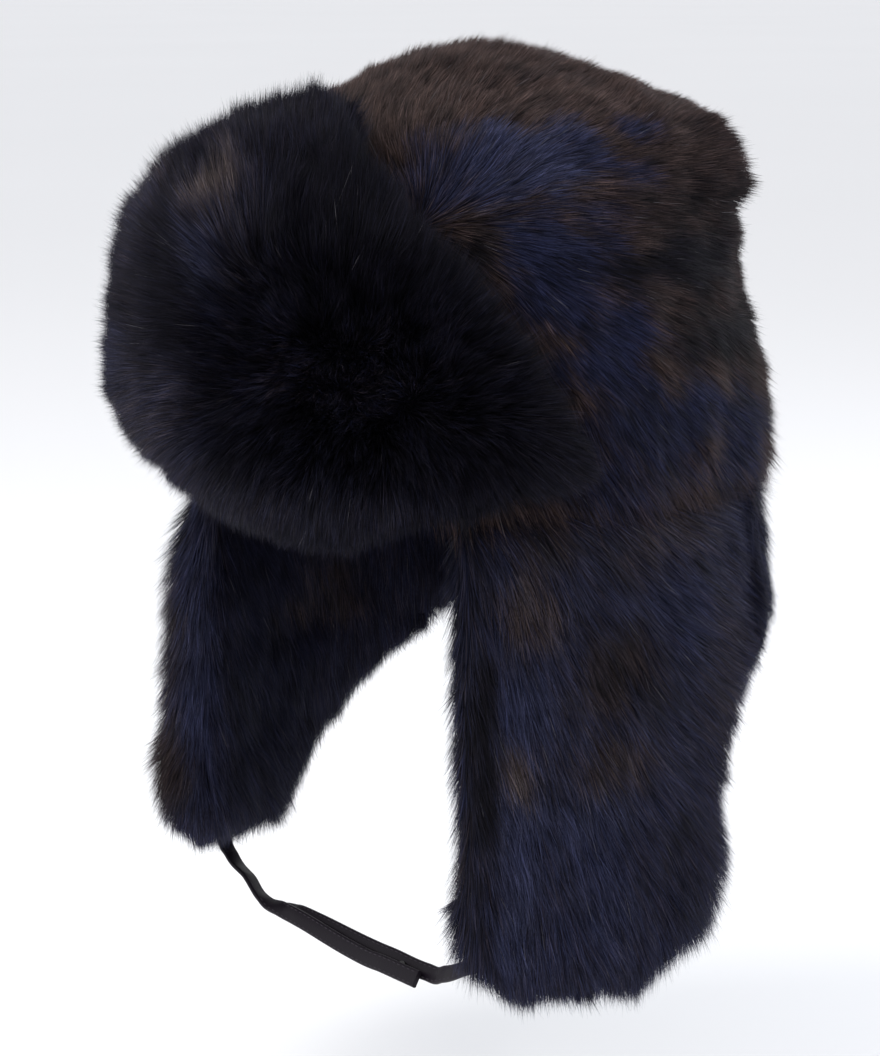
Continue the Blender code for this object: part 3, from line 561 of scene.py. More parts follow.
    rolled = by_chance(wire.scaled(of["Roll"], -1.0), of["Roll"], 5, "FLOAT_VECTOR")
    rolled = wire.vector("ADD", normal, rolled)
    way = wire.out("FunctionNodeAxesToRotation", along, rolled, primary_axis="Z", secondary_axis="Y")
    wide = wire.math("MULTIPLY", of["Width"], by_chance(0.6, 1.4, 7))
    scale = wire.out("ShaderNodeCombineXYZ", wide, length, length)
    strand = wire.add("GeometryNodeObjectInfo", of["Strand"]).outputs["Geometry"]
    hairs = wire.out(
        "GeometryNodeInstanceOnPoints",
        named={"Points": spread.outputs["Points"], "Instance": strand, "Rotation": way, "Scale": scale},
    )
    lock = wire.math("DIVIDE", 1.0, of["Lock Size"])
    locks = wire.add("ShaderNodeTexVoronoi", place, named={"Scale": lock})
    for label, value in (("chance", chance), ("lock", locks.outputs["Color"])):
        hairs = wire.out(
            "GeometryNodeStoreNamedAttribute",
            named={"Geometry": hairs, "Name": label, "Value": value},
            data_type="FLOAT",
            domain="INSTANCE",
        )
    hairs = wire.out("GeometryNodeRealizeInstances", hairs)
    hairs = wire.out("GeometryNodeSetMaterial", hairs, named={"Material": of["Finish"]})
    wire.feed(result.inputs["Fur"], hairs)
    return wire.tree


def stitch_tree():
    """Stitches along lines: each line carries the way out of the leather."""
    number_in = "NodeSocketFloat"
    wire, given, result = new_tree(
        "stitches",
        "GeometryNodeTree",
        [
            ("Lines", "NodeSocketGeometry"),
            ("Stitch", number_in, 0.002),
            ("Pitch", number_in, 0.003),
            ("Thread", number_in, 0.0003),
            ("Stray", number_in, 0.08),
            ("Seed", "NodeSocketInt", 1),
            ("Finish", "NodeSocketMaterial"),
        ],
        [("Stitches", "NodeSocketGeometry")],
    )
    of = given.outputs
    line = wire.out("GeometryNodeMeshToCurve", of["Lines"])
    line = wire.out("GeometryNodeResampleCurve", named={"Curve": line, "Length": of["Pitch"]}, mode="LENGTH")
    along = wire.out("GeometryNodeInputTangent")
    away = wire.out("GeometryNodeInputNamedAttribute", "out", data_type="FLOAT_VECTOR")
    least = wire.math("MULTIPLY", of["Stray"], -1.0)
    turn_about = wire.out("FunctionNodeRandomValue", least, of["Stray"], None, of["Seed"], data_type="FLOAT")
    side = wire.scaled(wire.vector("CROSS_PRODUCT", along, away), turn_about)
    along = wire.vector("ADD", along, side)
    way = wire.out("FunctionNodeAxesToRotation", along, away, primary_axis="Z", secondary_axis="Y")
    bead = wire.out("GeometryNodeMeshUVSphere", named={"Segments": 6, "Rings": 5, "Radius": 0.5})
    scale = wire.out("ShaderNodeCombineXYZ", of["Thread"], of["Thread"], of["Stitch"])
    made = wire.out(
        "GeometryNodeInstanceOnPoints",
        named={"Points": line, "Instance": bead, "Rotation": way, "Scale": scale},
    )
    made = wire.out("GeometryNodeRealizeInstances", made)
    made = wire.out("GeometryNodeSetMaterial", made, named={"Material": of["Finish"]})
    wire.feed(result.inputs["Stitches"], made)
    return wire.tree


def grown(source, tree, name, **inputs):
    """A plain mesh object made by a tree of geometry nodes from another object."""
    maker = source.modifiers.new(name, "NODES")
    maker.node_group = tree
    wanted = {key.replace("_", " ").title(): value for key, value in inputs.items()}
    for item in tree.interface.items_tree:
        if item.in_out == "INPUT" and item.name in wanted:
            maker[item.identifier] = wanted.pop(item.name)
    if wanted:
        raise RuntimeError(f"{tree.name} has no input named {sorted(wanted)}")
    bpy.context.view_layer.update()
    graph = bpy.context.evaluated_depsgraph_get()
    mesh = bpy.data.meshes.new_from_object(source.evaluated_get(graph), depsgraph=graph)
    source.modifiers.remove(maker)
    if not mesh.polygons:
        raise RuntimeError(f"{name} came out empty")
    mesh.name = name
    return placed(name, mesh)


def placed(name, data):
    """An object with some data, put in the scene."""
    thing = bpy.data.objects.new(name, data)
    bpy.context.scene.collection.objects.link(thing)
    return thing


def strand_object():
    """One strand: a blade a unit long and wide, from its root to its point."""
    mesh = bpy.data.meshes.new("strand")
    mesh.from_pydata([(-0.5, 0, 0), (0.5, 0, 0), (0, 0, 1)], [], [(0, 1, 2)])
    along = mesh.attributes.new("along", "FLOAT", "POINT")
    along.data.foreach_set("value", [0.0, 0.0, 1.0])
    return placed("strand", mesh)


def merged_mesh(name, *nodes):
    """A mesh of one or more solids, with their loose triangles joined."""
    bm = bmesh.new()
    for node in nodes:
        bm.from_mesh(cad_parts[node].data)
    bmesh.ops.remove_doubles(bm, verts=bm.verts, dist=MERGED)
    return to_mesh(bm, name)


def to_mesh(bm, name):
    """A new mesh out of what was built."""
    mesh = bpy.data.meshes.new(name)
    bm.to_mesh(mesh)
    bm.free()
    return mesh


def apply_modifiers(thing):
    """Makes what the modifiers give the object's own mesh."""
    graph = bpy.context.evaluated_depsgraph_get()
    mesh = bpy.data.meshes.new_from_object(thing.evaluated_get(graph), depsgraph=graph)
    thing.modifiers.clear()
    thing.data = mesh


def points_and_normals(mesh):
    """A mesh's points and the ways out of them, as rows."""
    co = np.empty(len(mesh.vertices) * 3)
    mesh.vertices.foreach_get("co", co)
    out = np.empty(len(mesh.vertices) * 3)
    mesh.vertices.foreach_get("normal", out)
    return co.reshape(-1, 3), out.reshape(-1, 3)


def evened(thing, cell, rounds):
    """Gives an object an even mesh, and softens it over a number of rounds."""
    remesh = thing.modifiers.new("even", "REMESH")
    remesh.mode = "VOXEL"
    remesh.voxel_size = cell
    soften = thing.modifiers.new("soft", "SMOOTH")
    soften.factor = 0.5
    soften.iterations = rounds
    apply_modifiers(thing)
    keep_largest(thing.data)


def fuller(co):
    """How much further out the fur stands at each point than elsewhere."""
    more = np.zeros(len(co))
    for x, y, z, reach, out in zip(*FULLER.values()):
        more += out * ease(reach, FULL_WITHIN * reach, np.linalg.norm(co - (x, y, z), axis=1))
    return more


def keep_largest(mesh):
    """Takes away all of a mesh but its largest connected part."""
    bm = bmesh.new()
    bm.from_mesh(mesh)
    left, parts = set(bm.verts), []
    while left:
        ahead, part = [left.pop()], []
        while ahead:
            vert = ahead.pop()
            part.append(vert)
            others = {edge.other_vert(vert) for edge in vert.link_edges} & left
            left -= others
            ahead.extend(others)
        parts.append(part)
    for part in sorted(parts, key=len)[:-1]:
        bmesh.ops.delete(bm, geom=part, context="VERTS")
    bm.to_mesh(mesh)
    bm.free()


def hat_form():
    """The outer form of all the fur, in one: the strands end at it. Its mesh is made once."""
    kept = bpy.data.meshes.get("hat_form")
    if kept:
        return placed("hat_form", kept)
    form = placed("hat_form", merged_mesh("hat_form_raw", *FURRED))
    evened(form, FORM_CELL, FORM_ROUNDS)
    mesh = form.data
    co, out = points_and_normals(mesh)
    swell = FORM_SWELL + fuller(co)
    mesh.vertices.foreach_set("co", (co + out * swell[:, None]).ravel())
    mesh.update()
    mesh.name = "hat_form"
    mesh.use_fake_user = True
    return form


def distance_from(co, nodes):
    """How far each point lies from the nearest of some solids."""
    nearest = np.full(len(co), np.inf)
    for node in nodes:
        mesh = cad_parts[node].data
        points = [vert.co.copy() for vert in mesh.vertices]
        tree = BVHTree.FromPolygons(points, [tuple(face.vertices) for face in mesh.polygons])
        away = [tree.find_nearest(Vector(point))[3] for point in co]
        nearest = np.minimum(nearest, away)
    return nearest


def make_pelt(node, name, depth):
    """The pelt under a solid's fur: its form without the locks, drawn in by a depth."""
    pelt = placed(name, merged_mesh(name, node))
    evened(pelt, PELT_CELL, PELT_ROUNDS)
    mesh = pelt.data
    co, out = points_and_normals(mesh)
    tree = BVHTree.FromPolygons([Vector(p) for p in co], [tuple(face.vertices) for face in mesh.polygons])
    inset = np.full(len(co), depth)
    for k, (point, way) in enumerate(zip(co, out)):
        hit = tree.ray_cast(Vector(point - way * UNDER), Vector(-way))
        if hit[0] is not None:
            inset[k] = min(depth, hit[3] * PELT_THIN)
    if node in FLAPS:
        apart = ease(*AWAY_FROM_SEAM, distance_from(co, [flap for flap in FLAPS if flap != node]))
        inset = inset * apart - SEAM_SWELL * (1 - apart)
    inset -= PELT_FOLLOWS * fuller(co)
    moved = co - out * inset[:, None]
    near_rim = np.abs(co[:, 2]) < RIM_KEPT
    moved[near_rim, 2] = co[near_rim, 2]
    mesh.vertices.foreach_set("co", moved.ravel())
    mesh.update()
    mesh.shade_smooth()
    store(mesh, "skin", out)
    return pelt


def store(mesh, name, values):
    """Keeps a number or a vector for each point of a mesh under a name."""
    values = np.asarray(values, np.float32)
    kind, key = ("FLOAT_VECTOR", "vector") if values.ndim == 2 else ("FLOAT", "value")
    kept = mesh.attributes.get(name) or mesh.attributes.new(name, kind, "POINT")
    kept.data.foreach_set(key, values.ravel())


def ease(low, high, at):
    """0 at low and before it, 1 at high and past it, and a smooth step between. High may be less."""
    t = np.clip((np.asarray(at, float) - low) / (high - low), 0.0, 1.0)
    return t * t * (3 - 2 * t)


def unit(rows):
    """Rows made one long."""
    return rows / np.maximum(np.linalg.norm(rows, axis=1, keepdims=True), 1e-9)


def on_surface(ways, out):
    """Ways laid flat on the surface."""
    return unit(ways - out * (ways * out).sum(1)[:, None])


def mottle(points, cell, seed):
    """Cloudy values between 0 and 1 over space, with clouds about as wide as a cell."""
    shift = Vector((seed * 7.31, seed * 3.17, seed * 5.23))
    values = [noise.fractal(Vector(p) / cell + shift, *CLOUD) for p in points]
    return np.clip(0.5 + CLOUD_DEPTH * np.array(values), 0.0, 1.0)


def paint(mesh, points, base, chart, seed):
    """Stores the shares of brown, near black and pale tips: a base, and patches over it."""
    warp = (mottle(points, RAGGED, seed) - 0.5) * RAGGED_REACH
    tones = np.tile(np.array(base, float), (len(points), 1))
    for x, y, z, across, up, brown, deep, pale, strength in zip(*chart.values()):
        away = points - (x, y, z)
        far = np.hypot(np.hypot(away[:, 0], away[:, 1]) / across, away[:, 2] / up)
        shown = (strength * ease(*PATCH_FADE, far + warp))[:, None]
        tones = tones * (1 - shown) + np.array((brown, deep, pale)) * shown
    uneven = mottle(points, RAGGED * 0.45, seed + 1)
    tones[:, 1] += 0.45 * ease(0.50, 0.80, uneven)
    tones[:, 2] *= 0.6 + 0.8 * mottle(points, RAGGED * 0.30, seed + 2)
    for name, values in zip(PATCH_TONES, tones.T):
        store(mesh, name, np.clip(values, 0.0, 1.0))


def seen_at(co, lay, out, sizes):
    """Where the hairs that are rooted at some points show."""
    way = lay * math.cos(sizes.lift) + out * math.sin(sizes.lift)
    return co + way * sizes.hair * AHEAD


def fur_density(mesh, cover, strands):
    """The hairs to a square metre where the cover is full, for a number of strands."""
    area = 0.0
    for face in mesh.polygons:
        area += face.area * cover[list(face.vertices)].mean()
    return strands * 1.0 / area


def finish_piece(piece, slot, *nodes):
    """Joins a piece to the hat's body and hides the solids it stands for. Its slot is not used."""
    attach(piece, BODY)
    if nodes:
        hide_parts(*nodes)


def new_material(name):
    """A material: its wiring and its shader."""
    material = bpy.data.materials.get(name) or bpy.data.materials.new(name)
    material.use_nodes = True
    wire = Wiring(material.node_tree)
    return material, wire, material.node_tree.nodes["Principled BSDF"]


def group_node(wire, group, **inputs):
    """A shader group placed in a material, with its values."""
    node = wire.add("ShaderNodeGroup", node_tree=group)
    for name, value in inputs.items():
        wire.feed(node.inputs[name.replace("_", " ").title()], value)
    return node


def rgba(tone):
    """A colour with its alpha."""
    return (*tone, 1.0)


def fur_group():
    """The colour of hair from its tones, its patches, and the place along it."""
    made = bpy.data.node_groups.get("hair_colour")
    if made:
        return made
    rgb, num = "NodeSocketColor", "NodeSocketFloat"
    wire, given, result = new_tree(
        "hair_colour",
        "ShaderNodeTree",
        [
            *((tone.title(), rgb) for tone in HAIR_TONES),
            ("Brown Share", num, 0.0),
            ("Deep Share", num, 0.0),
            ("Pale Share", num, 0.0),
            ("Along", num, 1.0),
            ("Chance", num, 0.5),
            ("Lock", num, 0.5),
            ("Guard Share", num, 0.006),
            ("Root Shade", num, 0.3),
        ],
        [("Color", rgb), ("Roughness", num)],
    )
    of = given.outputs

    def own(times):
        """A number between 0 and 1 of each hair's own."""
        return wire.math("FRACT", wire.math("MULTIPLY", of["Chance"], times))

    def by_hair(part, times, spread, low, high):
        """A share that differs from hair to hair, so that patches mingle at their edges."""
        varied = wire.math("MULTIPLY_ADD", wire.math("SUBTRACT", own(times), 0.5), spread, part)
        return wire.out("ShaderNodeMapRange", varied, low, high, 0.0, 1.0)

    brown = by_hair(of["Brown Share"], BROWN_DRAW, 0.6, 0.2, 0.8)
    tone = wire.mix(brown, of["Blue"], of["Brown"])
    tone = wire.mix(by_hair(of["Deep Share"], DEEP_DRAW, 0.35, 0.0, 1.0), tone, of["Deep"])
    tip = wire.math("MULTIPLY", of["Pale Share"], wire.math("POWER", of["Along"], 1.5))
    tip = wire.math("MULTIPLY", tip, wire.between(own(TIP_DRAW), 0.3, 1.7))
    tone = wire.mix(tip, tone, wire.mix(brown, of["Bright"], of["Pale"]))
    uneven = wire.between(wire.math("POWER", own(TONE_DRAW), 2.5), 0.45, 1.95)
    uneven = wire.math("MULTIPLY", uneven, wire.between(of["Lock"], 0.45, 1.55))
    # Painted shade: each hair darker towards its root, and the pelt darkest
    tip_gain = wire.math("SUBTRACT", 1.0, of["Root Shade"])
    shade = wire.math("MULTIPLY_ADD", of["Along"], tip_gain, of["Root Shade"])
    tone = wire.scaled(tone, wire.math("MULTIPLY", uneven, shade))
    guard = wire.math("MULTIPLY", wire.math("LESS_THAN", of["Chance"], of["Guard Share"]), of["Along"])
    tone = wire.mix(guard, tone, of["Guard"])
    wire.feed(result.inputs["Color"], tone)
    wire.feed(result.inputs["Roughness"], wire.between(of["Chance"], 0.45, 0.70))
    return wire.tree


def streak_group():
    """Fine fibres and soft clumps in the underfur."""
    made = bpy.data.node_groups.get("underfur")
    if made:
        return made
    num = "NodeSocketFloat"
    wire, given, result = new_tree(
        "underfur",
        "ShaderNodeTree",
        [("Fibre", num, 0.0006), ("Clump", num, 0.004)],
        [("Chance", num), ("Height", num)],
    )
    of = given.outputs
    place = wire.place()
    fibres = wire.noise(place, scale=wire.math("DIVIDE", 1.0, of["Fibre"]), detail=2.0)
    clumps = wire.noise(place, scale=wire.math("DIVIDE", 1.0, of["Clump"]), detail=2.0)
    wire.feed(result.inputs["Chance"], fibres)
    wire.feed(result.inputs["Height"], wire.math("MULTIPLY_ADD", fibres, 0.4, clumps))
    return wire.tree


def fur_material(name, tones, guard_share=GUARD_SHARE, is_pelt=False):
    """Fur as strands, or the dense underfur on a pelt."""
    material, wire, shader = new_material(name)

    def carried(attribute):
        return wire.add("ShaderNodeAttribute", attribute_name=attribute).outputs["Fac"]

    if is_pelt:
        streaks = group_node(wire, streak_group(), fibre=tones.fibre, clump=0.004)
        # The pelt is drawn as hair near its root, so the root's painted shade darkens it and the gaps between
        # the strands read as shadow
        along, chance, lock = 0.25, streaks.outputs["Chance"], 0.5
        wire.bump(shader, streaks.outputs["Height"], strength=0.6, distance=0.0006)
    else:
        along, chance, lock = carried("along"), carried("chance"), carried("lock")
    hair = group_node(
        wire,
        fur_group(),
        **{tone: rgba(getattr(tones, tone)) for tone in HAIR_TONES},
        **{f"{tone}_share": carried(tone) for tone in PATCH_TONES},
        along=along,
        chance=chance,
        lock=lock,
        root_shade=tones.root_shade,
        guard_share=0.0 if is_pelt else guard_share,
    )
    wire.feed(shader.inputs["Base Color"], hair.outputs["Color"])
    wire.feed(shader.inputs["Roughness"], hair.outputs["Roughness"])
    shader.inputs["Specular IOR Level"].default_value = 0.02 if is_pelt else 0.08
    return material


def grow_fur(pelt, name, sizes, strands, cover, seed, material, slot, node, guard_share=GUARD_SHARE, **extra):
    """The strands on a pelt, as a piece of their own."""
    store(pelt.data, "cover", cover)
    strand, form = strand_object(), hat_form()
    tree = bpy.data.node_groups.get("fur_strands") or fur_tree()
    fur = grown(
        pelt,
        tree,
        name,
        strand=strand,
        form=form,
        density=fur_density(pelt.data, cover, strands),
        length=sizes.hair,
        width=sizes.width,
        lift=sizes.lift,
        tuft_size=sizes.tuft,
        guard_share=guard_share,
        seed=seed,
        finish=material,
        **extra,
    )
    bpy.data.objects.remove(strand)
    bpy.data.objects.remove(form)
    finish_piece(fur, slot, node)


def outwards(co):
    """The ways away from the hat's upright axis."""
    return unit(co * (1, 1, 0))


class HAT_OT_crown_cloth(bpy.types.Operator):
    """Cloth over the padded wall of the crown, open below"""

    bl_idname = "ushanka.crown_cloth"
    bl_label = "Crown cloth"

    def execute(self, context):
        sizes = context.scene.ushanka.crown
        cloth = placed("crown_cloth", merged_mesh("crown_cloth", "crown_wall"))
        smooth = cloth.modifiers.new("smooth", "SUBSURF")
        smooth.levels = smooth.render_levels = 1
        apply_modifiers(cloth)
        cloth.data.shade_smooth()
        cloth.data.materials.append(cloth_material(sizes))
        finish_piece(cloth, "crown_cloth", "crown_wall")
        return {"FINISHED"}


# About how far the crown's wall lies from its axis
WALL_RADIUS = 0.09


def weave_group():
    """Threads of a plain weave on a round wall: round it and up it."""
    num = "NodeSocketFloat"
    wire, given, result = new_tree(
        "weave", "ShaderNodeTree", [("Thread", num, 0.0007)], [("Height", num), ("Tone", num)]
    )
    of = given.outputs
    place = wire.place()
    parts = wire.add("ShaderNodeSeparateXYZ", place).outputs
    round_it = wire.math("MULTIPLY", wire.math("ARCTAN2", parts["Y"], parts["X"]), WALL_RADIUS)
    scale = wire.math("DIVIDE", math.pi, of["Thread"])
    across = wire.math("SINE", wire.math("MULTIPLY", round_it, scale))
    upwards = wire.math("SINE", wire.math("MULTIPLY", parts["Z"], scale))
    height = wire.math("MULTIPLY", across, upwards)
    cloudy = wire.noise(place, scale=60.0, detail=3.0)
    wire.feed(result.inputs["Height"], height)
    wire.feed(result.inputs["Tone"], wire.math("MULTIPLY_ADD", height, 0.12, cloudy))
    return wire.tree


def cloth_material(sizes):
    """Plain woven cloth."""
    material, wire, shader = new_material("crown_cloth")
    weave = group_node(wire, weave_group(), thread=sizes.weave)
    darker = rgba([part * 0.55 for part in sizes.cloth])
    tone = wire.mix(weave.outputs["Tone"], darker, rgba([part * 1.5 for part in sizes.cloth]))
    wire.bump(shader, weave.outputs["Height"], strength=0.5, distance=0.0002)
    wire.feed(shader.inputs["Base Color"], tone)
    shader.inputs["Roughness"].default_value = 0.8
    shader.inputs["Specular IOR Level"].default_value = 0.2
    shader.inputs["Sheen Weight"].default_value = 0.15
    return material


class HAT_OT_crown_fur(bpy.types.Operator):
    """Fur over the crown: brown on the top, blue-grey at the sides"""

    bl_idname = "ushanka.crown_fur"
    bl_label = "Crown fur"

    def execute(self, context):
        hat = context.scene.ushanka
        sizes = hat.crown
        pelt = make_pelt("crown_fur", "crown_pelt", sizes.pelt)
        mesh = pelt.data
        co, out = points_and_normals(mesh)
        height = co[:, 2]
        side = np.tanh(co[:, :1] / FAN_BLEND)
        start = np.array(FAN_POINT) * np.hstack((side, np.ones_like(side), np.ones_like(side)))
        top = ease(*CROWN_TOP, height)
        lay = unit(co - start) * (1 - top)[:, None] + np.array(TOP_LAY) * top[:, None]
        lay[:, 2] -= SIDE_DROP + FOOT_DROP * ease(*CROWN_FOOT, height) - SIDE_DROP * top
        lay = on_surface(lay, out)
        store(mesh, "lay", lay)
        low = ease(RIM_FUR, 0.0, height)
        more = fuller(co) / FULLEST
        store(mesh, "reach", 1.0 - 0.25 * top + 0.6 * low + 0.3 * more)
        store(mesh, "stand", 0.10 * low + 0.25 * more)
        paint(mesh, seen_at(co, lay, out, sizes), CROWN_BASE, CROWN_PATCHES, seed=1)
        facing = (out * unit(co - CROWN_MIDDLE)).sum(1)
        shown = ease(*CROWN_FACING, facing) * (height > CROWN_BARE)
        shown = shown * ease(*VISOR_CLEAR, distance_from(co, ["visor"]))
        mesh.materials.append(fur_material("crown_pelt", hat.tones, is_pelt=True))
        finish_piece(pelt, "crown_fur", "crown_fur")
        hair = fur_material("crown_hair", hat.tones)
        plush = {"tuft_pull": 0.25, "wave_strength": 0.18}
        for name, sign, seed in (("left", 1, 11), ("right", -1, 12)):
            half = shown * (co[:, 0] * sign > 0)
            piece = f"crown_hair_{name}"
            count = sizes.strands // 2
            grow_fur(pelt, piece, sizes, count, half, seed, hair, "crown_fur", "crown_fur", **plush)
        return {"FINISHED"}


class HAT_OT_visor_fur(bpy.types.Operator):
    """Long fur of the turned-up visor, combed away from one line"""

    bl_idname = "ushanka.visor_fur"
    bl_label = "Visor fur"

    def execute(self, context):
        hat = context.scene.ushanka
        sizes = hat.visor
        pelt = make_pelt("visor", "visor_pelt", sizes.pelt)
        mesh = pelt.data
        co, out = points_and_normals(mesh)
        start, end = np.array(VISOR_PARTING)
        run = end - start
        share_of = np.clip(((co - start) @ run) / (run @ run), 0.0, 1.0)
        from_parting = co - start - share_of[:, None] * run
        lay = on_surface(from_parting, out)
        store(mesh, "lay", lay)
        near = ease(*NEAR_PARTING, np.linalg.norm(from_parting, axis=1))
        top = ease(*VISOR_TOP, co[:, 2])
        store(mesh, "stand", PARTING_STAND * near + VISOR_TOP_STAND * top)
        store(mesh, "reach", np.ones(len(co)))
        paint(mesh, seen_at(co, lay, out, sizes), VISOR_BASE, VISOR_PATCHES, seed=21)
        away = (out * outwards(co)).sum(1)
        shown = ease(*VISOR_FACING, away)
        mesh.materials.append(fur_material("visor_pelt", hat.tones, is_pelt=True))
        finish_piece(pelt, "visor_fur", "visor")
        hair = fur_material("visor_hair", hat.tones, VISOR_GUARD_SHARE)
        loose = {"guard_share": VISOR_GUARD_SHARE, "flow_strength": 0.50, "wave_strength": 0.35}
        grow_fur(
            pelt, "visor_hair", sizes, sizes.strands, shown, 21, hair, "visor_fur", "visor", **loose
        )
        return {"FINISHED"}


class HAT_OT_flap_fur(bpy.types.Operator):
    """Long hanging fur of the ear flaps and the nape flap, outside and inside"""

    bl_idname = "ushanka.flap_fur"
    bl_label = "Flap fur"

    def execute(self, context):
        hat = context.scene.ushanka
        sizes = hat.flaps
        hair = fur_material("flap_hair", hat.tones)
        under = fur_material("flap_pelt", hat.tones, is_pelt=True)
        rows = (
            ("ear_flap_left", sizes.strands, 31, LEFT_PATCHES, LEFT_BASE),
            ("ear_flap_right", sizes.strands, 41, RIGHT_PATCHES, FAR_BASE),
            ("nape_flap", sizes.nape_strands, 51, NAPE_PATCHES, FAR_BASE),
        )
        for node, strands, seed, chart, base in rows:
            pelt = make_pelt(node, f"{node}_pelt", sizes.pelt)
            mesh = pelt.data
            co, out = points_and_normals(mesh)
            lay = comb_flap(mesh, co, out, node)
            paint(mesh, seen_at(co, lay, out, sizes), base, chart, seed)
            mesh.materials.append(under)
            finish_piece(pelt, "flap_fur", node)
            shown = np.where((co[:, 2] > FLAP_BARE) & (out[:, 2] > FLAP_UPWARD), 0.0, 1.0)
            grow_fur(pelt, f"{node}_hair", sizes, strands, shown, seed, hair, "flap_fur", node)
        return {"FINISHED"}


def comb_flap(mesh, co, out, node):
    """Stores and gives how the fur lies on a flap: down, and on the outside also back."""
    away = outwards(co)
    outside = ease(*FLAP_OUTSIDE, (out * away).sum(1))
    back = np.stack((-away[:, 1], away[:, 0], np.zeros(len(co))), 1) * np.sign(co[:, :1])
    rearward = ease(*FLAP_REAR, co[:, 1])
    lean = LEAN + (REAR_LEAN * rearward + TOP_LEAN) * ease(*FLAP_DROP, -co[:, 2])
    if node == "nape_flap":
        lean = np.zeros_like(lean)
    lay = on_surface(np.array([0.0, 0.0, -1.0]) + back * (lean * outside)[:, None], out)
    store(mesh, "lay", lay)
    more = fuller(co) / FULLEST
    store(mesh, "reach", 1.0 + 0.2 * more)
    store(mesh, "stand", 0.2 * more)
    return lay


# The straps' routes, from inside the flap's hem to the loose end. Tilt turns the strap's width
# from level and fore-and-aft towards upright
RIGHT_STRAP = table(
    "x y z tilt",
    (-0.1030, -0.0430, -0.1400, 0),
    (-0.1020, -0.0435, -0.1600, 0),
    (-0.0945, -0.0450, -0.1700, 10),
    (-0.0810, -0.0463, -0.1752, 20),
    (-0.0700, -0.0475, -0.1808, 10),
    (-0.0560, -0.0488, -0.1812, -42),
    (-0.0373, -0.0506, -0.1812, -55),
    (-0.0045, -0.0538, -0.1820, -60),
    (0.0170, -0.0559, -0.1807, -60),
    (0.0385, -0.0579, -0.1795, -60),
)
LEFT_STRAP = table(
    "x y z tilt",
    (0.0985, -0.0440, -0.1440, 0),
    (0.0930, -0.0500, -0.1540, -10),
    (0.0790, -0.0555, -0.1610, -30),
    (0.0640, -0.0560, -0.1680, -50),
    (0.0500, -0.0548, -0.1748, -60),
    (0.0385, -0.0532, -0.1778, -60),
    (0.0170, -0.0512, -0.1790, -60),
    (-0.0045, -0.0491, -0.1803, -60),
    (-0.0373, -0.0460, -0.1812, -54),
    (-0.0560, -0.0441, -0.1827, -28),
    (-0.0670, -0.0435, -0.1844, 0),
)
# The rings of a strap, the rounding of its edges as a share of its thickness, and where across it the leather
# begins to be drawn lighter and is lightest: rubbed leather with painted sheen along its edges
STRAP_STEPS = 160
STRAP_ROUND = 0.42
WORN_AND_SHEEN = (0.30, 0.50)
# A strap's direction is read over this share of its route to each side
NEARBY = 0.01
# The stretch of a strap's route that shows stitches, and the points that its lines have
STITCH_FROM, STITCH_TO = 0.30, 0.985
STITCH_STEPS = 120


def along_table(rows, column, at):
    """A column of a table at a share of the way along it, along a smooth curve."""
    y = rows[column]
    slopes = np.gradient(y)
    place = min(max(at, 0.0), 1.0) * (len(y) - 1)
    k = min(int(place), len(y) - 2)
    t = place - k
    start = y[k] + slopes[k] * t
    end = y[k + 1] - slopes[k + 1] * (1 - t)
    blend = t * t * (3 - 2 * t)
    return start * (1 - blend) + end * blend


def strap_place(rows, at):
    """The middle of a strap at a share of its route, and the ways across it and out of it."""

    def middle(share_of):
        return Vector([along_table(rows, axis, share_of) for axis in "xyz"])

    run = (middle(min(at + NEARBY, 1.0)) - middle(max(at - NEARBY, 0.0))).normalized()
    tilt = math.radians(along_table(rows, "tilt", at))
    across = Vector((0, -math.cos(tilt), math.sin(tilt)))
    across = (across - run * across.dot(run)).normalized()
    return middle(at), across, run.cross(across).normalized()


def strap_section(width, thickness):
    """A flat section with rounded edges."""
    corner = thickness * STRAP_ROUND
    points = []
    for quarter, (sx, sy) in enumerate(((1, 1), (-1, 1), (-1, -1), (1, -1))):
        for step in range(4):
            angle = math.radians(90 * quarter + 30 * step)
            x = sx * (width / 2 - corner) + corner * math.cos(angle)
            y = sy * (thickness / 2 - corner) + corner * math.sin(angle)
            points.append((x, y))
    return points


def make_strap(name, rows, sizes):
    """A strap of leather along its route, closed at both ends."""
    section = strap_section(sizes.width, sizes.thickness)
    bm = bmesh.new()
    edge = bm.verts.layers.float.new("edge")
    rings = []
    for step in range(STRAP_STEPS + 1):
        middle, across, out = strap_place(rows, step / STRAP_STEPS)
        ring = []
        for x, y in section:
            vert = bm.verts.new(middle + across * x + out * y)
            vert[edge] = float(ease(*WORN_AND_SHEEN, abs(x) / sizes.width))
            ring.append(vert)
        rings.append(ring)
    for first, second in zip(rings, rings[1:]):
        for k in range(len(section)):
            nxt = (k + 1) % len(section)
            bm.faces.new((first[k], first[nxt], second[nxt], second[k]))
    bm.faces.new(rings[0])
    bm.faces.new(rings[-1][::-1])
    bmesh.ops.recalc_face_normals(bm, faces=bm.faces)
    mesh = to_mesh(bm, name)
    mesh.shade_smooth()
    mesh.set_sharp_from_angle(angle=math.radians(50))
    return placed(name, mesh)


def stitch_lines(name, rows, sizes):
    """Lines beside both edges of a strap, on both of its faces."""
    points, ways, edges = [], [], []
    for side in (-1, 1):
        for face in (-1, 1):
            first = len(points)
            for at in np.linspace(STITCH_FROM, STITCH_TO, STITCH_STEPS):
                middle, across, out = strap_place(rows, at)
                beside = across * side * (sizes.width / 2 - sizes.inset)
                points.append(middle + beside + out * face * sizes.thickness / 2)
                ways.append(out * face)
            edges += [(k, k + 1) for k in range(first, len(points) - 1)]
    mesh = bpy.data.meshes.new(name)
    mesh.from_pydata(points, edges, [])
    store(mesh, "out", np.array(ways))
    return placed(name, mesh)


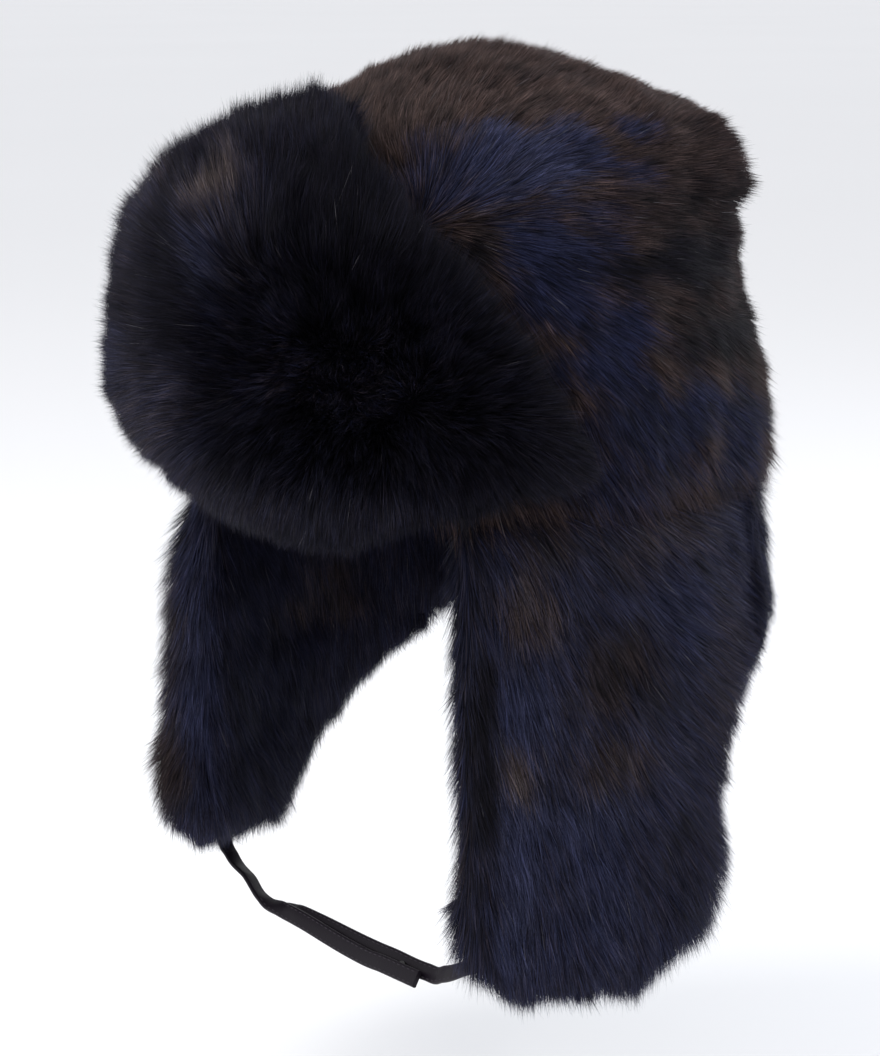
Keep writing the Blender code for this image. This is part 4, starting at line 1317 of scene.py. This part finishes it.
def grain_group():
    """Grain of leather: pebbles, pores and rubbed places."""
    num = "NodeSocketFloat"
    wire, given, result = new_tree(
        "leather_grain", "ShaderNodeTree", [("Pebble", num, 0.0006)], [("Height", num), ("Rub", num)]
    )
    of = given.outputs
    place = wire.place()
    fine = wire.math("DIVIDE", 1.0, of["Pebble"])
    pebbles = wire.add("ShaderNodeTexVoronoi", place, named={"Scale": fine}).outputs["Distance"]
    cloudy = wire.noise(place, scale=220.0, detail=4.0)
    wire.feed(result.inputs["Height"], wire.math("MULTIPLY_ADD", pebbles, -0.5, cloudy))
    wire.feed(result.inputs["Rub"], cloudy)
    return wire.tree


def leather_material(sizes):
    """Dark leather, drawn lighter along its edges: rubbed leather and painted sheen."""
    material, wire, shader = new_material("strap_leather")
    grain = group_node(wire, grain_group(), pebble=0.0006)
    edge = wire.add("ShaderNodeAttribute", attribute_name="edge").outputs["Fac"]
    # The edges drawn lighter: rubbed leather with painted sheen
    rubbed_and_sheen = wire.math("MULTIPLY", edge, wire.math("POWER", grain.outputs["Rub"], 1.5))
    tone = wire.mix(rubbed_and_sheen, rgba(sizes.leather), rgba(sizes.worn_and_sheen))
    wire.feed(shader.inputs["Base Color"], tone)
    wire.feed(shader.inputs["Roughness"], wire.between(grain.outputs["Rub"], 0.28, 0.58))
    wire.bump(shader, grain.outputs["Height"], strength=0.35, distance=0.00015)
    shader.inputs["Specular IOR Level"].default_value = 0.13
    return material


def thread_material(sizes):
    """Twisted thread."""
    material, wire, shader = new_material("strap_thread")
    twist = wire.noise(wire.place(), scale=3500.0, detail=2.0)
    darker = rgba([part * 0.5 for part in sizes.yarn])
    tone = wire.mix(twist, darker, rgba([part * 1.6 for part in sizes.yarn]))
    wire.feed(shader.inputs["Base Color"], tone)
    shader.inputs["Roughness"].default_value = 0.7
    shader.inputs["Specular IOR Level"].default_value = 0.15
    return material


class HAT_OT_straps(bpy.types.Operator):
    """The two leather straps with their stitches"""

    bl_idname = "ushanka.straps"
    bl_label = "Straps"

    def execute(self, context):
        sizes = context.scene.ushanka.straps
        leather = leather_material(sizes)
        thread = thread_material(sizes)
        tree = stitch_tree()
        for node, rows in (("strap_left", LEFT_STRAP), ("strap_right", RIGHT_STRAP)):
            strap = make_strap(f"{node}_leather", rows, sizes)
            strap.data.materials.append(leather)
            finish_piece(strap, "strap_leather", node)
            lines = stitch_lines(f"{node}_lines", rows, sizes)
            stitches = grown(
                lines,
                tree,
                f"{node}_stitches",
                stitch=sizes.stitch,
                pitch=sizes.pitch,
                thread=sizes.thread,
                seed=3,
                finish=thread,
            )
            stitches.data.shade_smooth()
            finish_piece(stitches, "strap_leather")
            bpy.data.objects.remove(lines)
        return {"FINISHED"}


class HAT_OT_stud(bpy.types.Operator):
    """Finish of the press stud between the straps"""

    bl_idname = "ushanka.stud"
    bl_label = "Stud"

    def execute(self, context):
        material, wire, shader = new_material("stud_metal")
        brushed = wire.noise(wire.place(), scale=900.0, detail=3.0)
        tone = wire.mix(brushed, (0.02, 0.02, 0.02, 1), (0.06, 0.06, 0.06, 1))
        wire.feed(shader.inputs["Base Color"], tone)
        wire.feed(shader.inputs["Roughness"], wire.between(brushed, 0.30, 0.55))
        shader.inputs["Metallic"].default_value = 0.6
        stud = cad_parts["strap_stud"]
        stud.data.materials.clear()
        stud.data.materials.append(material)
        return {"FINISHED"}


# Places of the lights, the point that they face, their width, and how far the floor reaches
KEY_PLACE = (-0.35, -1.15, 1.35)
RIM_PLACE = (0.45, 1.20, 0.90)
LIT_POINT = (0.0, 0.0, 0.02)
LIGHT_WIDTH = 0.9
FLOOR_REACH = 60.0


def area_light(name, place, power, tone):
    """A soft square light that faces the hat."""
    data = bpy.data.lights.new(name, "AREA")
    data.size = LIGHT_WIDTH
    data.energy = power
    data.color = tone
    way = Vector(place) - Vector(LIT_POINT)
    turned = way.to_track_quat("Z", "Y").to_matrix().to_4x4()
    placed(name, data).matrix_world = Matrix.Translation(place) @ turned


class HAT_OT_stage(bpy.types.Operator):
    """A pale floor, soft lights and the camera"""

    bl_idname = "ushanka.stage"
    bl_label = "Stage"

    def execute(self, context):
        sizes = context.scene.ushanka.stage
        bm = bmesh.new()
        bmesh.ops.create_grid(bm, x_segments=8, y_segments=8, size=FLOOR_REACH)
        bmesh.ops.translate(bm, verts=bm.verts, vec=(0, 0, -sizes.drop))
        floor = placed("floor", to_mesh(bm, "floor"))
        material, wire, shader = new_material("floor")
        cloudy = wire.noise(wire.place(), scale=0.7, detail=2.0)
        lighter = rgba([min(part * 1.03, 1.0) for part in sizes.floor])
        wire.feed(shader.inputs["Base Color"], wire.mix(cloudy, rgba(sizes.floor), lighter))
        shader.inputs["Roughness"].default_value = 0.9
        floor.data.materials.append(material)
        world = bpy.data.worlds.new("studio")
        world.use_nodes = True
        sky = world.node_tree.nodes["Background"]
        sky.inputs["Color"].default_value = (0.96, 0.97, 1.0, 1.0)
        sky.inputs["Strength"].default_value = sizes.sky
        context.scene.world = world
        area_light("key", KEY_PLACE, sizes.key, (1.0, 0.97, 0.93))
        area_light("rim", RIM_PLACE, sizes.rim, (0.88, 0.93, 1.0))
        context.scene.view_settings.view_transform = "Standard"
        make_camera(context, sizes)
        return {"FINISHED"}


# The photo's frame: its height, its focal length, and where the rim's middle lies from its
# middle, in pixels
PHOTO_TALL = 1056
FOCAL = 2670
MIDDLE_ACROSS = 30
MIDDLE_UP = 67
SENSOR = 36.0


def make_camera(context, sizes):
    """A camera at the photo's angle, with the hat in the photo's place."""
    a, e = sizes.azimuth, sizes.elevation
    back = Vector((math.sin(a) * math.cos(e), -math.cos(a) * math.cos(e), math.sin(e)))
    right = Vector((math.cos(a), math.sin(a), 0.0))
    up = Vector((-math.sin(a) * math.sin(e), math.cos(a) * math.sin(e), math.cos(e)))
    place = back - right * (MIDDLE_ACROSS / FOCAL) - up * (MIDDLE_UP / FOCAL)
    data = bpy.data.cameras.new("camera")
    data.sensor_fit = "AUTO"
    data.sensor_width = SENSOR
    data.lens = FOCAL / PHOTO_TALL * SENSOR
    data.clip_end = 200.0
    camera = placed("camera", data)
    turned = Matrix((right, up, back)).transposed().to_4x4()
    camera.matrix_world = Matrix.Translation(place * sizes.distance) @ turned
    context.scene.camera = camera


class HAT_PT_panel(bpy.types.Panel):
    """Settings and makers of the hat"""

    bl_idname = "HAT_PT_panel"
    bl_label = "Ushanka"
    bl_space_type = "VIEW_3D"
    bl_region_type = "UI"
    bl_category = "Ushanka"

    def draw(self, context):
        hat = context.scene.ushanka
        for part in hat.__annotations__:
            group = getattr(hat, part)
            box = self.layout.box()
            box.label(text=part.title())
            for name in group.__annotations__:
                box.prop(group, name)
        for maker in MAKERS:
            self.layout.operator(maker.bl_idname)


GROUPS = (FurTones, CrownSizes, VisorSizes, FlapSizes, StrapSizes, StageSizes, HatSettings)
MAKERS = (
    HAT_OT_stage,
    HAT_OT_crown_cloth,
    HAT_OT_crown_fur,
    HAT_OT_visor_fur,
    HAT_OT_flap_fur,
    HAT_OT_straps,
    HAT_OT_stud,
)


def register():
    """Adds the settings, the makers and the panel."""
    for group in (*GROUPS, *MAKERS, HAT_PT_panel):
        bpy.utils.register_class(group)
    bpy.types.Scene.ushanka = PointerProperty(type=HatSettings)


def unregister():
    """Takes them away again."""
    del bpy.types.Scene.ushanka
    for group in reversed((*GROUPS, *MAKERS, HAT_PT_panel)):
        bpy.utils.unregister_class(group)


def main():
    """Builds the hat on its stage."""
    register()
    bpy.ops.ushanka.stage()
    bpy.ops.ushanka.crown_cloth()
    bpy.ops.ushanka.crown_fur()
    bpy.ops.ushanka.visor_fur()
    bpy.ops.ushanka.flap_fur()
    bpy.ops.ushanka.straps()
    bpy.ops.ushanka.stud()


if __name__ == "__main__":
    main()
